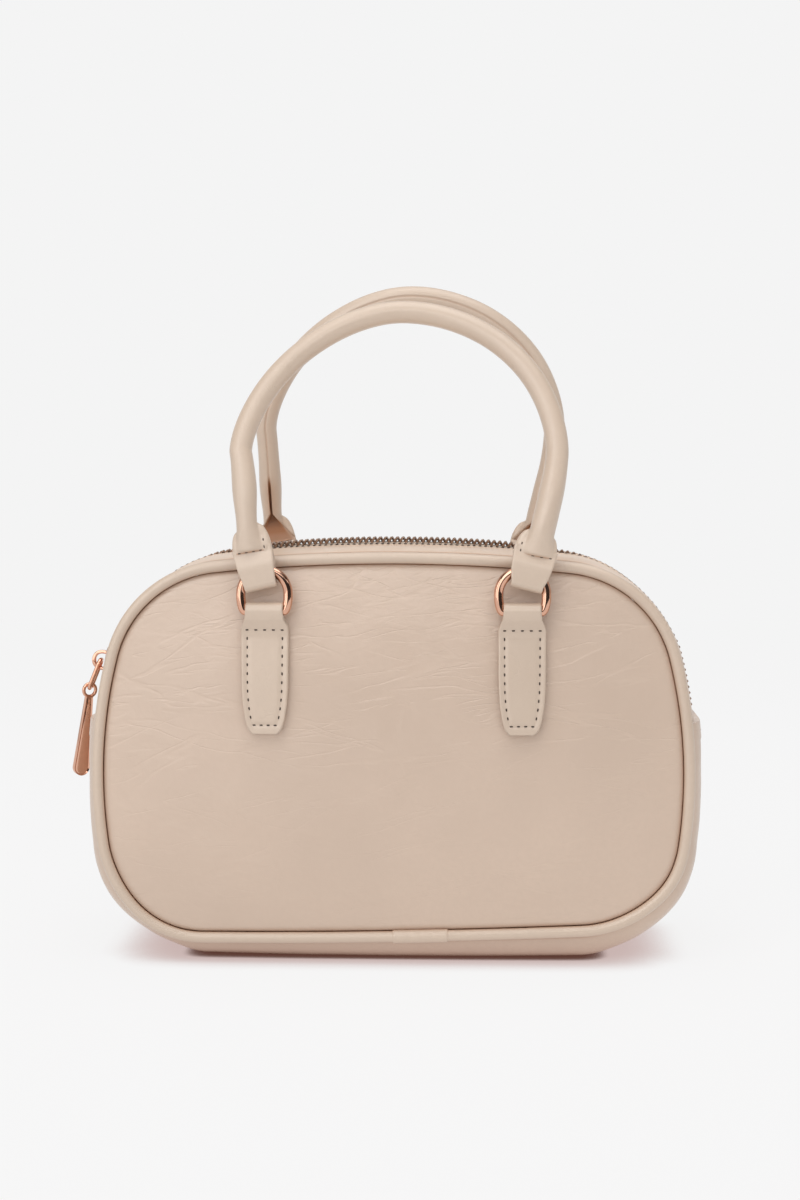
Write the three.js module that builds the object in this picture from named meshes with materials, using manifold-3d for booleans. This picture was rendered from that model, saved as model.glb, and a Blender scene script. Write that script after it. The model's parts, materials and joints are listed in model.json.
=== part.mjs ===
// Rounded zip-top handbag in soft leather: two domed panels joined by a gusset and a zip,
// two rolled handles on D-rings held by stitched tabs.
// Millimetres, +Z up, the front towards -Y, the origin on the floor under the middle of the bag.
import * as THREE from 'three';
import Module from 'manifold-3d';
import { mergeVertices } from 'three/addons/utils/BufferGeometryUtils.js';

// Seam outline of a panel, as tangent arcs from the middle of the top edge to the bottom edge
const SEAM_TOP = 171.4;
const SEAM_ARCS = [
  { radius: 737, sweepDeg: 5.9, steps: 5 }, // top edge
  { radius: 48.4, sweepDeg: 69.8, steps: 7 }, // shoulder
  { radius: 205, sweepDeg: 22.5, steps: 4 }, // flank
  { radius: 42.2, sweepDeg: 80.4, steps: 7 }, // lower corner
];
const BOTTOM_EDGE_STEPS = 5;
const LEAST_STEP = 2;
const BISECTIONS = 40;
const MERGE_TOLERANCE = 1e-4;

// Slump of the soft lower edge: lower on the left, higher on the right, fading out with height
const SLUMP = 0.026;
const SLUMP_FULL_Z = 14;
const SLUMP_END_Z = 44;

// Bag body
const HALF_DEPTH_BOTTOM = 46;
const HALF_DEPTH_TOP = 42;
const WALL = 1.6;
const GAP = 0.3;
const PANEL_CENTRE_Z = 90;
const PANEL_BULGE = 7;
const PANEL_BULGE_POWER = 3;
const PANEL_RINGS = [1, 0.93, 0.8, 0.55, 0.25];

// Piping bead
const BEAD_RADIUS = 2.3;
const BEAD_SIDES = 6;
const BEAD_SETBACK = 0.4;
const BEAD_OFFSET = BEAD_RADIUS + GAP;

// Gusset over the bottom and sides; its swell past the seam outline depends on where it faces
const GUSSET_EDGE = 3.4;
const GUSSET_SETBACK = BEAD_SETBACK + BEAD_RADIUS + GAP + 0.05;
const GUSSET_SWELL = 9.5;
const GUSSET_SWELL_DOWN = 5.2;
const GUSSET_POWER = 8;
const GUSSET_POWER_DOWN = 4;
const GUSSET_DRAWN_IN = { left: 2.6, right: 1.6 };
const GUSSET_ACROSS = [-1, -0.97, -0.9, -0.78, -0.5, 0, 0.5, 0.78, 0.9, 0.97, 1];

// Zip strips, tape and teeth
const ZIP_END_Z = 103;
const STRIP_EDGE = 3.6;
const STRIP_SWELL = 7.6;
const STRIP_SWELL_UP = 1;
const STRIP_DRAWN_IN = 1.6;
const STRIP_POWER = 4.5;
const STRIP_ACROSS = [0, 0.07, 0.2, 0.45, 1];
const SLOT_HALF = 6.4;
const TAPE_THICK = 0.8;
const TAPE_OUTER = 14;
const TEETH_HALF = 3.25;
const TEETH_PROUD = 3;
const TEETH_DRAWN_IN = 2.2;
const TEETH_HEIGHT = 3.8;
const TEETH_SINK = { x: -86, width: 24, depth: 1.7 };

// Zip slider on the left side and its hanging pull
const SLIDER_Z = 123;
const SLIDER_LENGTH = 14;
const SLIDER_WIDTH = 9.5;
const SLIDER_PLATE = 1.8;
const SLIDER_CORNER = 3.2;
const SLIDER_CURVE_STEPS = 3;
const SLIDER_CORE = 6;
const SLIDER_CORE_LENGTH = 8.4;
const SLIDER_TOP = 11.4;
const SLIDER_INNER_TOP = 3.8;
const BRIDGE_WIDTH = 3;
const BRIDGE_LENGTH = 9;
const BRIDGE_OPEN_LENGTH = 6;
const BRIDGE_OPEN_HEIGHT = 4.6;
const BRIDGE_HEIGHT = 6.2;
const BRIDGE_SUNK = 0.5;
const LINK_WIRE = 0.9;
const LINK_SIDES = 6;
const LINK_BEND_STEPS = 2;
const LINK_LENGTH = 14;
const LINK_HALF = 3.2;
const LINK_TILT = THREE.MathUtils.degToRad(22);
const DROP_EYE = 2.9;
const DROP_EYE_WIRE = 0.8;
const DROP_EYE_SIDES = 6;
const DROP_EYE_STEPS = 14;
const DROP_SLACK = 0.9;
const DROP_LENGTH = 39;
const DROP_NECK_HALF = 1.5;
const DROP_HALF = 3.65;
const DROP_THICK = 2.4;
const DROP_TILT = THREE.MathUtils.degToRad(7);
const DROP_TWIST = THREE.MathUtils.degToRad(37);
const DROP_CURVE_STEPS = 8;

// D-rings and the tabs that hold them
const RING_BAR_Z = 152;
const RING_WIRE = 2;
const RING_HALF = 10;
const RING_CORNER_WIDTH = 2;
const RING_CORNER_HEIGHT = 6.6;
const RING_CORNER_STEPS = 5;
const RING_ARC_CENTRE = 7.3;
const RING_SIDES = 8;
const RING_ARC_STEPS = 8;
const TAB_PLY = 1.3;
const TAB_BETWEEN = 0.25;
const TAB_CLEAR = 0.35;
const TAB_FOLD_STEPS = 6;
const TAB_WIDTHS = [
  { z: 100, width: 10.8 },
  { z: 100.8, width: 13 },
  { z: 102.2, width: 14.7 },
  { z: 106, width: 16.9 },
  { z: 111.8, width: 18.7 },
  { z: 118, width: 19.4 },
  { z: 125, width: 19.7 },
  { z: 135, width: 19.8 },
  { z: 144, width: 19.9 },
  { z: 147, width: 17.4 },
  { z: 148.6, width: 15.4 },
];
const TAB_NECK = 14.8;
const TAB_LIFT_BELOW = 4;
const TAB_LIFT_ABOVE = 3;

// Rolled handles; the front one leans in more and so stands lower
const HANDLES = [
  { name: 'front', side: -1, lean: 18, rise: 0, sway: 2.8 },
  { name: 'back', side: 1, lean: 12, rise: 10.6, sway: 4.3 },
];
// The two ends of a handle: place of the ring, tilt of the loop on it in degrees, slide of the loop and
// shift of the roll to the outer side, slack of the arch, start of the roll above the ring's top
const ENDS = [
  { name: 'left', sign: -1, ringX: -53.4, tilt: 13.5, slide: 0.6, shift: 1, slack: 1.15, rollUp: 8 },
  { name: 'right', sign: 1, ringX: 55.3, tilt: 14.4, slide: 0.8, shift: 1.1, slack: 1, rollUp: 6.4 },
];
const LOOP_PLY = 1.5;
const LOOP_CLEAR = 0.35;
const LOOP_FOLD = -4.4;
const LOOP_FOLD_STEPS = 6;
const LOOP_FOLD_WIDTH = 12.6;
const LOOP_TOP_WIDTH = 17.6;
const LOOP_SPREAD = RING_WIRE + LOOP_CLEAR + LOOP_PLY / 2;
const LOOP_ROWS = [
  { up: 10, out: 0.85, width: LOOP_TOP_WIDTH },
  { up: 7, out: 1.15, width: 17 },
  { up: 4.5, out: 2.55, width: 16.2 },
  { up: 2, out: LOOP_SPREAD, width: 15.6 },
];
const HANDLE_RADIUS = 4.8;
const HANDLE_SIDES = 10;
const HANDLE_SPRING_Z = 219;
const HANDLE_TOP_Z = 279.4;
const HANDLE_HALF = 67;
const HANDLE_LEG_TILT = THREE.MathUtils.degToRad(10);
const HANDLE_LEG_STEPS = 6;
const HANDLE_LEG_SPACING = 1.3;
const HANDLE_ARCH_STEPS = 14;
const HANDLE_FLARE = 15;
const HANDLE_FLAT_HALF = 1.7;
const HANDLE_LEAN_ONSET = 30;

// Surface colours
const LEATHER = { color: 0xd8c0ab, roughness: 0.45, metalness: 0 };
const ROSE_GOLD = { color: 0xd29a7c, roughness: 0.2, metalness: 1 };
const BRONZE = { color: 0x6f6354, roughness: 0.4, metalness: 0.8 };
const TAPE = { color: 0xcbb39d, roughness: 0.9, metalness: 0 };

const wasm = await Module();
wasm.setup();

const Y_AXIS = new THREE.Vector3(0, 1, 0);

// Arcs of the right half of the seam, with their start lengths; the bottom arc closes the outline
function seamArcs() {
  const arcs = [];
  let heading = 0;
  let x = 0;
  let z = SEAM_TOP;
  let start = 0;
  const add = (radius, sweep, steps) => {
    arcs.push({ radius, heading, x, z, start, length: radius * sweep, steps });
    x += radius * (Math.sin(heading + sweep) - Math.sin(heading));
    z += radius * (Math.cos(heading + sweep) - Math.cos(heading));
    start += radius * sweep;
    heading += sweep;
  };
  for (const arc of SEAM_ARCS) add(arc.radius, THREE.MathUtils.degToRad(arc.sweepDeg), arc.steps);
  add(x / Math.sin(heading), Math.PI - heading, BOTTOM_EDGE_STEPS);
  return { arcs, half: start, bottom: z };
}

const SEAM = seamArcs();

// Point, outward normal and slump of the seam at a length from the middle of the top, positive to the right
function seamAt(length) {
  let wrapped = length;
  if (wrapped > SEAM.half) wrapped -= 2 * SEAM.half;
  const side = wrapped < 0 ? -1 : 1;
  const along = Math.min(Math.abs(wrapped), SEAM.half);
  const arc = SEAM.arcs.findLast((each) => each.start <= along);
  const angle = arc.heading + (along - arc.start) / arc.radius;
  const x = side * (arc.x + arc.radius * (Math.sin(angle) - Math.sin(arc.heading)));
  const z = arc.z + arc.radius * (Math.cos(angle) - Math.cos(arc.heading));
  const slump = SLUMP * x * (1 - THREE.MathUtils.smoothstep(z, SLUMP_FULL_Z, SLUMP_END_Z));
  return { x, z: z + slump, nx: side * Math.sin(angle), nz: Math.cos(angle), slump };
}

// Lengths at the divisions of the arcs that fall inside a stretch of the seam, with its two ends
function seamStretch(from, to) {
  const right = SEAM.arcs.flatMap((arc) =>
    Array.from({ length: arc.steps }, (_, i) => arc.start + (arc.length * i) / arc.steps));
  const left = right.slice(1).map((length) => -length);
  const all = [...left, ...right, SEAM.half, ...left.map((length) => length + 2 * SEAM.half)];
  const inside = all.filter((length) => length > from + LEAST_STEP && length < to - LEAST_STEP);
  return [from, ...inside.sort((a, b) => a - b), to];
}

// Length from the top at which the right half of the seam comes down to a height
function seamLengthAt(z) {
  let low = 0;
  let high = SEAM.half;
  for (let i = 0; i < BISECTIONS; i += 1) {
    const middle = (low + high) / 2;
    if (seamAt(middle).z > z) low = middle;
    else high = middle;
  }
  return low;
}

function halfDepth(z) {
  return THREE.MathUtils.mapLinear(z, SEAM.bottom, SEAM_TOP, HALF_DEPTH_BOTTOM, HALF_DEPTH_TOP);
}

// Share of the way from the panel's centre to its seam at a point of the panel
function panelShare(x, z) {
  const angle = Math.atan2(Math.abs(x), z - PANEL_CENTRE_Z);
  let low = 0;
  let high = SEAM.half;
  for (let i = 0; i < BISECTIONS; i += 1) {
    const middle = (low + high) / 2;
    const seam = seamAt(middle);
    if (Math.atan2(seam.x, seam.z - PANEL_CENTRE_Z) < angle) low = middle;
    else high = middle;
  }
  const seam = seamAt(low);
  return Math.hypot(x, z - PANEL_CENTRE_Z) / Math.hypot(seam.x, seam.z - PANEL_CENTRE_Z);
}

function panelDepth(z, share) {
  return halfDepth(z) + PANEL_BULGE * (1 - share ** PANEL_BULGE_POWER);
}

// Closed solid through rings of points; the cap of an open one joins the two halves of its ring
function loft(rings, closed = false) {
  const count = rings[0].length;
  const index = [];
  const spans = closed ? rings.length : rings.length - 1;
  for (let r = 0; r < spans; r += 1) {
    const here = r * count;
    const next = ((r + 1) % rings.length) * count;
    for (let i = 0; i < count; i += 1) {
      const j = (i + 1) % count;
      index.push(here + i, here + j, next + j, here + i, next + j, next + i);
    }
  }
  if (!closed) {
    const last = (rings.length - 1) * count;
    for (let i = 0; i < count / 2 - 1; i += 1) {
      const far = count - 1 - i;
      index.push(i, far - 1, i + 1, i, far, far - 1);
      index.push(last + i, last + i + 1, last + far - 1, last + i, last + far - 1, last + far);
    }
  }
  const positions = rings.flat();
  let volume = 0;
  for (let t = 0; t < index.length; t += 3) {
    const [a, b, c] = [positions[index[t]], positions[index[t + 1]], positions[index[t + 2]]];
    volume += a.dot(b.clone().cross(c));
  }
  if (volume < 0) index.reverse();
  const geometry = new THREE.BufferGeometry().setFromPoints(positions);
  geometry.setIndex(index);
  return geometry;
}

// Round wire along a closed path that lies nearly in a plane
function closedWire(path, radius, sides, planeNormal) {
  const rings = path.map((point, i) => {
    const ahead = path[(i + 1) % path.length];
    const behind = path[(i + path.length - 1) % path.length];
    const tangent = ahead.clone().sub(behind).normalize();
    const across = tangent.clone().cross(planeNormal).normalize();
    return Array.from({ length: sides }, (_, k) => {
      const turn = (2 * Math.PI * (k + 0.5)) / sides;
      return point.clone()
        .addScaledVector(across, radius * Math.cos(turn))
        .addScaledVector(planeNormal, radius * Math.sin(turn));
    });
  });
  return loft(rings, true);
}

// One solid from several closed geometries that overlap
function union(geometries) {
  const solids = geometries.map((geometry) => {
    const bare = geometry.clone();
    bare.deleteAttribute('normal');
    bare.deleteAttribute('uv');
    const merged = mergeVertices(bare, MERGE_TOLERANCE);
    return new wasm.Manifold(new wasm.Mesh({
      numProp: 3,
      vertProperties: Float32Array.from(merged.attributes.position.array),
      triVerts: Uint32Array.from(merged.index.array),
    }));
  });
  const mesh = wasm.Manifold.union(solids).getMesh();
  const geometry = new THREE.BufferGeometry();
  geometry.setAttribute('position', new THREE.BufferAttribute(mesh.vertProperties, 3));
  geometry.setIndex(new THREE.BufferAttribute(mesh.triVerts, 1));
  return geometry;
}

function node(name, geometry, surface) {
  geometry.computeVertexNormals();
  const mesh = new THREE.Mesh(geometry, new THREE.MeshStandardMaterial(surface));
  mesh.name = name;
  return mesh;
}

// Domed panel of even thickness, made of rings from its inner middle out to the seam and back
function panel(side) {
  const lengths = seamStretch(-SEAM.half, SEAM.half).slice(0, -1);
  const ring = (share, inwards) => lengths.map((length) => {
    const seam = seamAt(length);
    const z = PANEL_CENTRE_Z + share * (seam.z - PANEL_CENTRE_Z);
    return new THREE.Vector3(share * seam.x, side * (panelDepth(z, share) - inwards), z);
  });
  const inner = [...PANEL_RINGS].reverse().map((share) => ring(share, WALL));
  const outer = PANEL_RINGS.map((share) => ring(share, 0));
  return loft([...inner, ...outer]);
}

function piping(side) {
  const lengths = seamStretch(-SEAM.half, SEAM.half).slice(0, -1);
  const path = lengths.map((length) => {
    const seam = seamAt(length);
    return new THREE.Vector3(
      seam.x + BEAD_OFFSET * seam.nx,
      side * (halfDepth(seam.z) - BEAD_SETBACK),
      seam.z + BEAD_OFFSET * seam.nz);
  });
  return closedWire(path, BEAD_RADIUS, BEAD_SIDES, Y_AXIS);
}

// Point at an offset out from the seam and a depth, kept above the floor
function offsetPoint(seam, offset, y, floor) {
  return new THREE.Vector3(seam.x + offset * seam.nx, y, Math.max(seam.z + offset * seam.nz, floor));
}

// Band along a stretch of the seam: its outer face at given depths and its inner face behind it
function band(from, to, depths, outerOffset, thickness) {
  const rings = seamStretch(from, to).map((length) => {
    const seam = seamAt(length);
    const ys = depths(seam);
    const outer = ys.map((y) => offsetPoint(seam, outerOffset(seam, y), y, 0));
    const inner = ys.map((y) => offsetPoint(seam, outerOffset(seam, y) - thickness, y, thickness));
    return [...outer, ...inner.reverse()];
  });
  return loft(rings);
}

function edgeDepth(seam) {
  return halfDepth(seam.z) - GUSSET_SETBACK;
}

function gussetOffset(seam, y) {
  const down = Math.max(0, -seam.nz);
  const turned = Math.abs(seam.nx);
  const { smoothstep } = THREE.MathUtils;
  const corner = down > 0 ? smoothstep(turned, 0, 0.35) * (1 - smoothstep(turned, 0.5, 0.9)) : 0;
  const drawnIn = seam.nx < 0 ? GUSSET_DRAWN_IN.left : GUSSET_DRAWN_IN.right;
  const swell = GUSSET_SWELL + (GUSSET_SWELL_DOWN + seam.slump) * down - drawnIn * corner;
  const across = Math.abs(y) / edgeDepth(seam);
  return GUSSET_EDGE + (swell - GUSSET_EDGE) * (1 - across ** (GUSSET_POWER + GUSSET_POWER_DOWN * down));
}

// How sharply the zip is drawn over a shoulder, from 0 on the top and the flanks to 1
function shoulderPull(seam) {
  return (2 * seam.nx * seam.nz) ** 2;
}

function stripOffset(seam, y) {
  const swell = STRIP_SWELL - STRIP_SWELL_UP * seam.nz - STRIP_DRAWN_IN * shoulderPull(seam);
  const across = Math.abs(y) / edgeDepth(seam);
  return STRIP_EDGE + (swell - STRIP_EDGE) * (1 - across ** STRIP_POWER);
}

const ZIP_END = seamLengthAt(ZIP_END_Z);
const SLIDER_LENGTH_ALONG = seamLengthAt(SLIDER_Z);

function gusset() {
  const depths = (seam) => GUSSET_ACROSS.map((share) => share * edgeDepth(seam));
  return band(ZIP_END + GAP, 2 * SEAM.half - ZIP_END - GAP, depths, gussetOffset, WALL);
}

function zipStrip(side) {
  const depths = (seam) => STRIP_ACROSS.map((share) =>
    side * THREE.MathUtils.lerp(edgeDepth(seam), SLOT_HALF, share));
  return band(-ZIP_END, ZIP_END, depths, stripOffset, WALL);
}

function tapeOffset(seam, y) {
  return stripOffset(seam, y) - WALL - GAP;
}

function zipTape(side) {
  const depths = () => [side * TAPE_OUTER, side * (TEETH_HALF + GAP)];
  return band(-ZIP_END, ZIP_END, depths, tapeOffset, TAPE_THICK);
}

function zipTeeth() {
  const depths = () => [-TEETH_HALF, TEETH_HALF];
  const sunk = (x) => TEETH_SINK.depth * Math.exp(-(((x - TEETH_SINK.x) / TEETH_SINK.width) ** 2));
  const proud = (seam) => TEETH_PROUD - TEETH_DRAWN_IN * shoulderPull(seam) - sunk(seam.x);
  const top = (seam) => stripOffset(seam, 0) + proud(seam);
  const start = -SLIDER_LENGTH_ALONG + SLIDER_LENGTH / 2 + GAP;
  return band(start, ZIP_END, depths, top, TEETH_HEIGHT);
}

// Slider frame: x out of the bag, y across the zip, z up along it, at the seam line on the left
function sliderFrame() {
  const seam = seamAt(-SLIDER_LENGTH_ALONG);
  const out = new THREE.Vector3(seam.nx, 0, seam.nz);
  const up = new THREE.Vector3(seam.nz, 0, -seam.nx);
  const across = up.clone().cross(out);
  return new THREE.Matrix4().makeBasis(out, across, up).setPosition(seam.x, 0, seam.z);
}

// Solid of a flat outline, its curves divided into a number of steps
function drawnOut(shape, depth, curveSegments) {
  return new THREE.ExtrudeGeometry(shape, { depth, bevelEnabled: false, curveSegments });
}

function block(fromX, toX, width, length) {
  return new THREE.BoxGeometry(toX - fromX, width, length).translate((fromX + toX) / 2, 0, 0);
}

// Plate with rounded outline, its face across the slider's outward axis
function sliderPlate(fromX, thickness) {
  const halfWidth = SLIDER_WIDTH / 2;
  const halfLength = SLIDER_LENGTH / 2;
  const shape = new THREE.Shape();
  shape.moveTo(-halfWidth, -halfLength + SLIDER_CORNER);
  shape.quadraticCurveTo(-halfWidth, -halfLength, -halfWidth + SLIDER_CORNER, -halfLength);
  shape.lineTo(halfWidth - SLIDER_CORNER, -halfLength);
  shape.quadraticCurveTo(halfWidth, -halfLength, halfWidth, -halfLength + SLIDER_CORNER);
  shape.lineTo(halfWidth, halfLength - SLIDER_CORNER);
  shape.quadraticCurveTo(halfWidth, halfLength, halfWidth - SLIDER_CORNER, halfLength);
  shape.lineTo(-halfWidth + SLIDER_CORNER, halfLength);
  shape.quadraticCurveTo(-halfWidth, halfLength, -halfWidth, halfLength - SLIDER_CORNER);
  const geometry = drawnOut(shape, thickness, SLIDER_CURVE_STEPS);
  const axes = new THREE.Matrix4().makeBasis(
    new THREE.Vector3(0, 1, 0), new THREE.Vector3(0, 0, 1), new THREE.Vector3(1, 0, 0));
  return geometry.applyMatrix4(axes).translate(fromX, 0, 0);
}

// Arch that the link passes under
function sliderBridge() {
  const outer = BRIDGE_LENGTH / 2;
  const inner = BRIDGE_OPEN_LENGTH / 2;
  const shape = new THREE.Shape();
  shape.moveTo(-BRIDGE_SUNK, -outer);
  shape.lineTo(BRIDGE_HEIGHT - outer / 2, -outer);
  shape.quadraticCurveTo(BRIDGE_HEIGHT, -outer, BRIDGE_HEIGHT, -outer / 2);
  shape.lineTo(BRIDGE_HEIGHT, outer / 2);
  shape.quadraticCurveTo(BRIDGE_HEIGHT, outer, BRIDGE_HEIGHT - outer / 2, outer);
  shape.lineTo(-BRIDGE_SUNK, outer);
  shape.lineTo(-BRIDGE_SUNK, inner);
  shape.lineTo(BRIDGE_OPEN_HEIGHT - inner / 2, inner);
  shape.quadraticCurveTo(BRIDGE_OPEN_HEIGHT, inner, BRIDGE_OPEN_HEIGHT, inner / 2);
  shape.lineTo(BRIDGE_OPEN_HEIGHT, -inner / 2);
  shape.quadraticCurveTo(BRIDGE_OPEN_HEIGHT, -inner, BRIDGE_OPEN_HEIGHT - inner / 2, -inner);
  shape.lineTo(-BRIDGE_SUNK, -inner);
  const geometry = drawnOut(shape, BRIDGE_WIDTH, SLIDER_CURVE_STEPS);
  const axes = new THREE.Matrix4().makeBasis(
    new THREE.Vector3(1, 0, 0), new THREE.Vector3(0, 0, 1), new THREE.Vector3(0, -1, 0));
  return geometry.applyMatrix4(axes).translate(SLIDER_TOP, BRIDGE_WIDTH / 2, 0);
}

function zipSlider() {
  const inside = SLIDER_INNER_TOP - SLIDER_PLATE;
  const parts = [
    sliderPlate(SLIDER_TOP - SLIDER_PLATE, SLIDER_PLATE),
    sliderPlate(inside, SLIDER_PLATE),
    block(inside, SLIDER_TOP, SLIDER_CORE, SLIDER_CORE_LENGTH),
    sliderBridge(),
  ];
  return union(parts).applyMatrix4(sliderFrame());
}

// Pivot of the pull under the bridge, on the bag's left side
const PIVOT = new THREE.Vector3(SLIDER_TOP + BRIDGE_OPEN_HEIGHT / 2, 0, 0).applyMatrix4(sliderFrame());

// Direction that hangs down and swings out to the left by an angle
function hanging(tilt) {
  return new THREE.Vector3(-Math.sin(tilt), 0, -Math.cos(tilt));
}

function zipPullLink() {
  const down = hanging(LINK_TILT);
  const bend = LINK_HALF - BRIDGE_WIDTH / 2 + LINK_WIRE;
  const path = [];
  const corner = (y, drop, from) => {
    for (let k = 0; k <= LINK_BEND_STEPS; k += 1) {
      const turn = from + (k * Math.PI) / (2 * LINK_BEND_STEPS);
      path.push(PIVOT.clone()
        .addScaledVector(Y_AXIS, y + bend * Math.cos(turn))
        .addScaledVector(down, drop + bend * Math.sin(turn)));
    }
  };
  corner(LINK_HALF - bend, LINK_LENGTH - bend, 0);
  corner(-LINK_HALF + bend, LINK_LENGTH - bend, Math.PI / 2);
  corner(-LINK_HALF + bend, bend, Math.PI);
  corner(LINK_HALF - bend, bend, 1.5 * Math.PI);
  return closedWire(path, LINK_WIRE, LINK_SIDES, down.clone().cross(Y_AXIS).normalize());
}

function zipPullDrop() {
  const shape = new THREE.Shape();
  const roundCentre = -DROP_LENGTH + DROP_HALF;
  shape.moveTo(-DROP_NECK_HALF, -DROP_EYE);
  shape.lineTo(-DROP_HALF, roundCentre);
  shape.absarc(0, roundCentre, DROP_HALF, Math.PI, 2 * Math.PI, false);
  shape.lineTo(DROP_NECK_HALF, -DROP_EYE);
  const plate = drawnOut(shape, DROP_THICK, DROP_CURVE_STEPS);
  plate.translate(0, 0, -DROP_THICK / 2);
  const eye = new THREE.TorusGeometry(DROP_EYE, DROP_EYE_WIRE, DROP_EYE_SIDES, DROP_EYE_STEPS);
  const geometry = union([plate, eye]);
  const down = hanging(DROP_TILT);
  const up = down.clone().negate();
  const face = Y_AXIS.clone().applyAxisAngle(up, DROP_TWIST);
  const bar = PIVOT.clone().addScaledVector(hanging(LINK_TILT), LINK_LENGTH);
  const centre = bar.addScaledVector(down, DROP_SLACK);
  return geometry.applyMatrix4(
    new THREE.Matrix4().makeBasis(up.clone().cross(face), up, face).setPosition(centre));
}

// Depth of the panel's face under a point of a tab
function panelFace(x, z) {
  return panelDepth(z, panelShare(x, z));
}

// The strip leaves the panel's face between these heights, ahead of its most forward point there
const NECK_Z = TAB_WIDTHS[TAB_WIDTHS.length - 1].z;
const CONVERGE_Z = TAB_WIDTHS[TAB_WIDTHS.length - 3].z;
const NECK_X = Math.min(...ENDS.map((end) => Math.abs(end.ringX))) - TAB_NECK / 2;
const NECK_FACE = panelFace(NECK_X, CONVERGE_Z);
const RING_BAR_DEPTH = NECK_FACE + GAP + TAB_PLY + TAB_CLEAR + RING_WIRE;

// Strip folded round the ring bar: up the panel's face, over the bar and down again in front
function tab(side, ringX) {
  const foldRadius = RING_WIRE + TAB_CLEAR + TAB_PLY / 2;
  const behind = GAP + TAB_PLY / 2;
  const before = behind + TAB_PLY + TAB_BETWEEN;
  const steps = [];
  for (const row of TAB_WIDTHS) steps.push({ z: row.z, width: row.width, face: behind });
  for (let k = 0; k <= TAB_FOLD_STEPS; k += 1) {
    const turn = (Math.PI * k) / TAB_FOLD_STEPS;
    const depth = RING_BAR_DEPTH - foldRadius * Math.cos(turn);
    const z = RING_BAR_Z + foldRadius * Math.sin(turn);
    const normal = new THREE.Vector2(-Math.cos(turn), Math.sin(turn));
    steps.push({ z, width: TAB_NECK, depth, normal });
  }
  for (const row of [...TAB_WIDTHS].reverse()) {
    const lift = RING_BAR_DEPTH + foldRadius - NECK_FACE - before;
    const share = THREE.MathUtils.smoothstep(row.z, CONVERGE_Z - TAB_LIFT_BELOW, NECK_Z + TAB_LIFT_ABOVE);
    steps.push({ z: row.z, width: row.width, face: before + lift * share });
  }
  const rings = steps.map((step, index) => {
    const backPly = index < TAB_WIDTHS.length;
    const columns = [-0.5, 0, 0.5].map((share) => share * step.width);
    const faceHalf = TAB_PLY / 2;
    const point = (across, outwards) => {
      if (step.normal) {
        return new THREE.Vector3(
          ringX + across,
          side * (step.depth + outwards * faceHalf * step.normal.x),
          step.z + outwards * faceHalf * step.normal.y);
      }
      const follow = 1 - THREE.MathUtils.smoothstep(step.z, CONVERGE_Z, NECK_Z);
      const here = panelFace(ringX + across, step.z);
      const direction = backPly ? -outwards : outwards;
      const depth = THREE.MathUtils.lerp(NECK_FACE, here, follow) + step.face + direction * faceHalf;
      return new THREE.Vector3(ringX + across, side * depth, step.z);
    };
    return [...columns.map((x) => point(x, 1)), ...columns.reverse().map((x) => point(x, -1))];
  });
  return loft(rings);
}

function dRing(side, ringX) {
  const path = [];
  const add = (x, z) => path.push(new THREE.Vector3(ringX + x, side * RING_BAR_DEPTH, RING_BAR_Z + z));
  const inset = RING_HALF - RING_CORNER_WIDTH;
  const corner = (from, sign) => {
    for (let k = 0; k <= RING_CORNER_STEPS; k += 1) {
      const turn = from + (k * Math.PI) / (2 * RING_CORNER_STEPS);
      add(sign * inset + RING_CORNER_WIDTH * Math.cos(turn), RING_CORNER_HEIGHT * (1 + Math.sin(turn)));
    }
  };
  corner(-Math.PI / 2, 1);
  for (let k = 0; k <= RING_ARC_STEPS; k += 1) {
    const turn = (k * Math.PI) / RING_ARC_STEPS;
    add(RING_HALF * Math.cos(turn), RING_ARC_CENTRE + RING_HALF * Math.sin(turn));
  }
  corner(Math.PI, -1);
  return closedWire(path, RING_WIRE, RING_SIDES, Y_AXIS);
}

// Frame of a handle's end: where its loop crosses the top of the ring, and the way it points
function loopFrame(end) {
  const tilt = THREE.MathUtils.degToRad(end.tilt);
  const up = new THREE.Vector3(end.sign * Math.sin(tilt), 0, Math.cos(tilt));
  const across = new THREE.Vector3(up.z, 0, -up.x);
  const centre = new THREE.Vector3(end.ringX + end.sign * end.slide, 0, RING_BAR_Z + RING_ARC_CENTRE);
  return { up, across, start: centre.addScaledVector(up, RING_HALF) };
}

// Leather loop round the top of a ring, its two plies meeting above it
function handleLoop(side, end) {
  const frame = loopFrame(end);
  const path = [...LOOP_ROWS];
  for (let k = 0; k <= LOOP_FOLD_STEPS; k += 1) {
    const turn = (Math.PI * k) / LOOP_FOLD_STEPS;
    path.push({
      up: LOOP_FOLD - LOOP_SPREAD * Math.sin(turn),
      out: LOOP_SPREAD * Math.cos(turn),
      width: LOOP_FOLD_WIDTH,
    });
  }
  path.push(...LOOP_ROWS.map((row) => ({ ...row, out: -row.out })).reverse());
  const rings = path.map((row, i) => {
    const ahead = path[Math.min(i + 1, path.length - 1)];
    const behind = path[Math.max(i - 1, 0)];
    const run = new THREE.Vector2(ahead.up - behind.up, ahead.out - behind.out).normalize();
    const place = (share, outwards) => frame.start.clone()
      .addScaledVector(frame.across, share * row.width)
      .addScaledVector(frame.up, row.up + (outwards * run.y * LOOP_PLY) / 2)
      .addScaledVector(Y_AXIS, side * (RING_BAR_DEPTH + row.out - (outwards * run.x * LOOP_PLY) / 2));
    return [place(-0.5, 1), place(0.5, 1), place(0.5, -1), place(-0.5, -1)];
  });
  return loft(rings);
}

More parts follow.
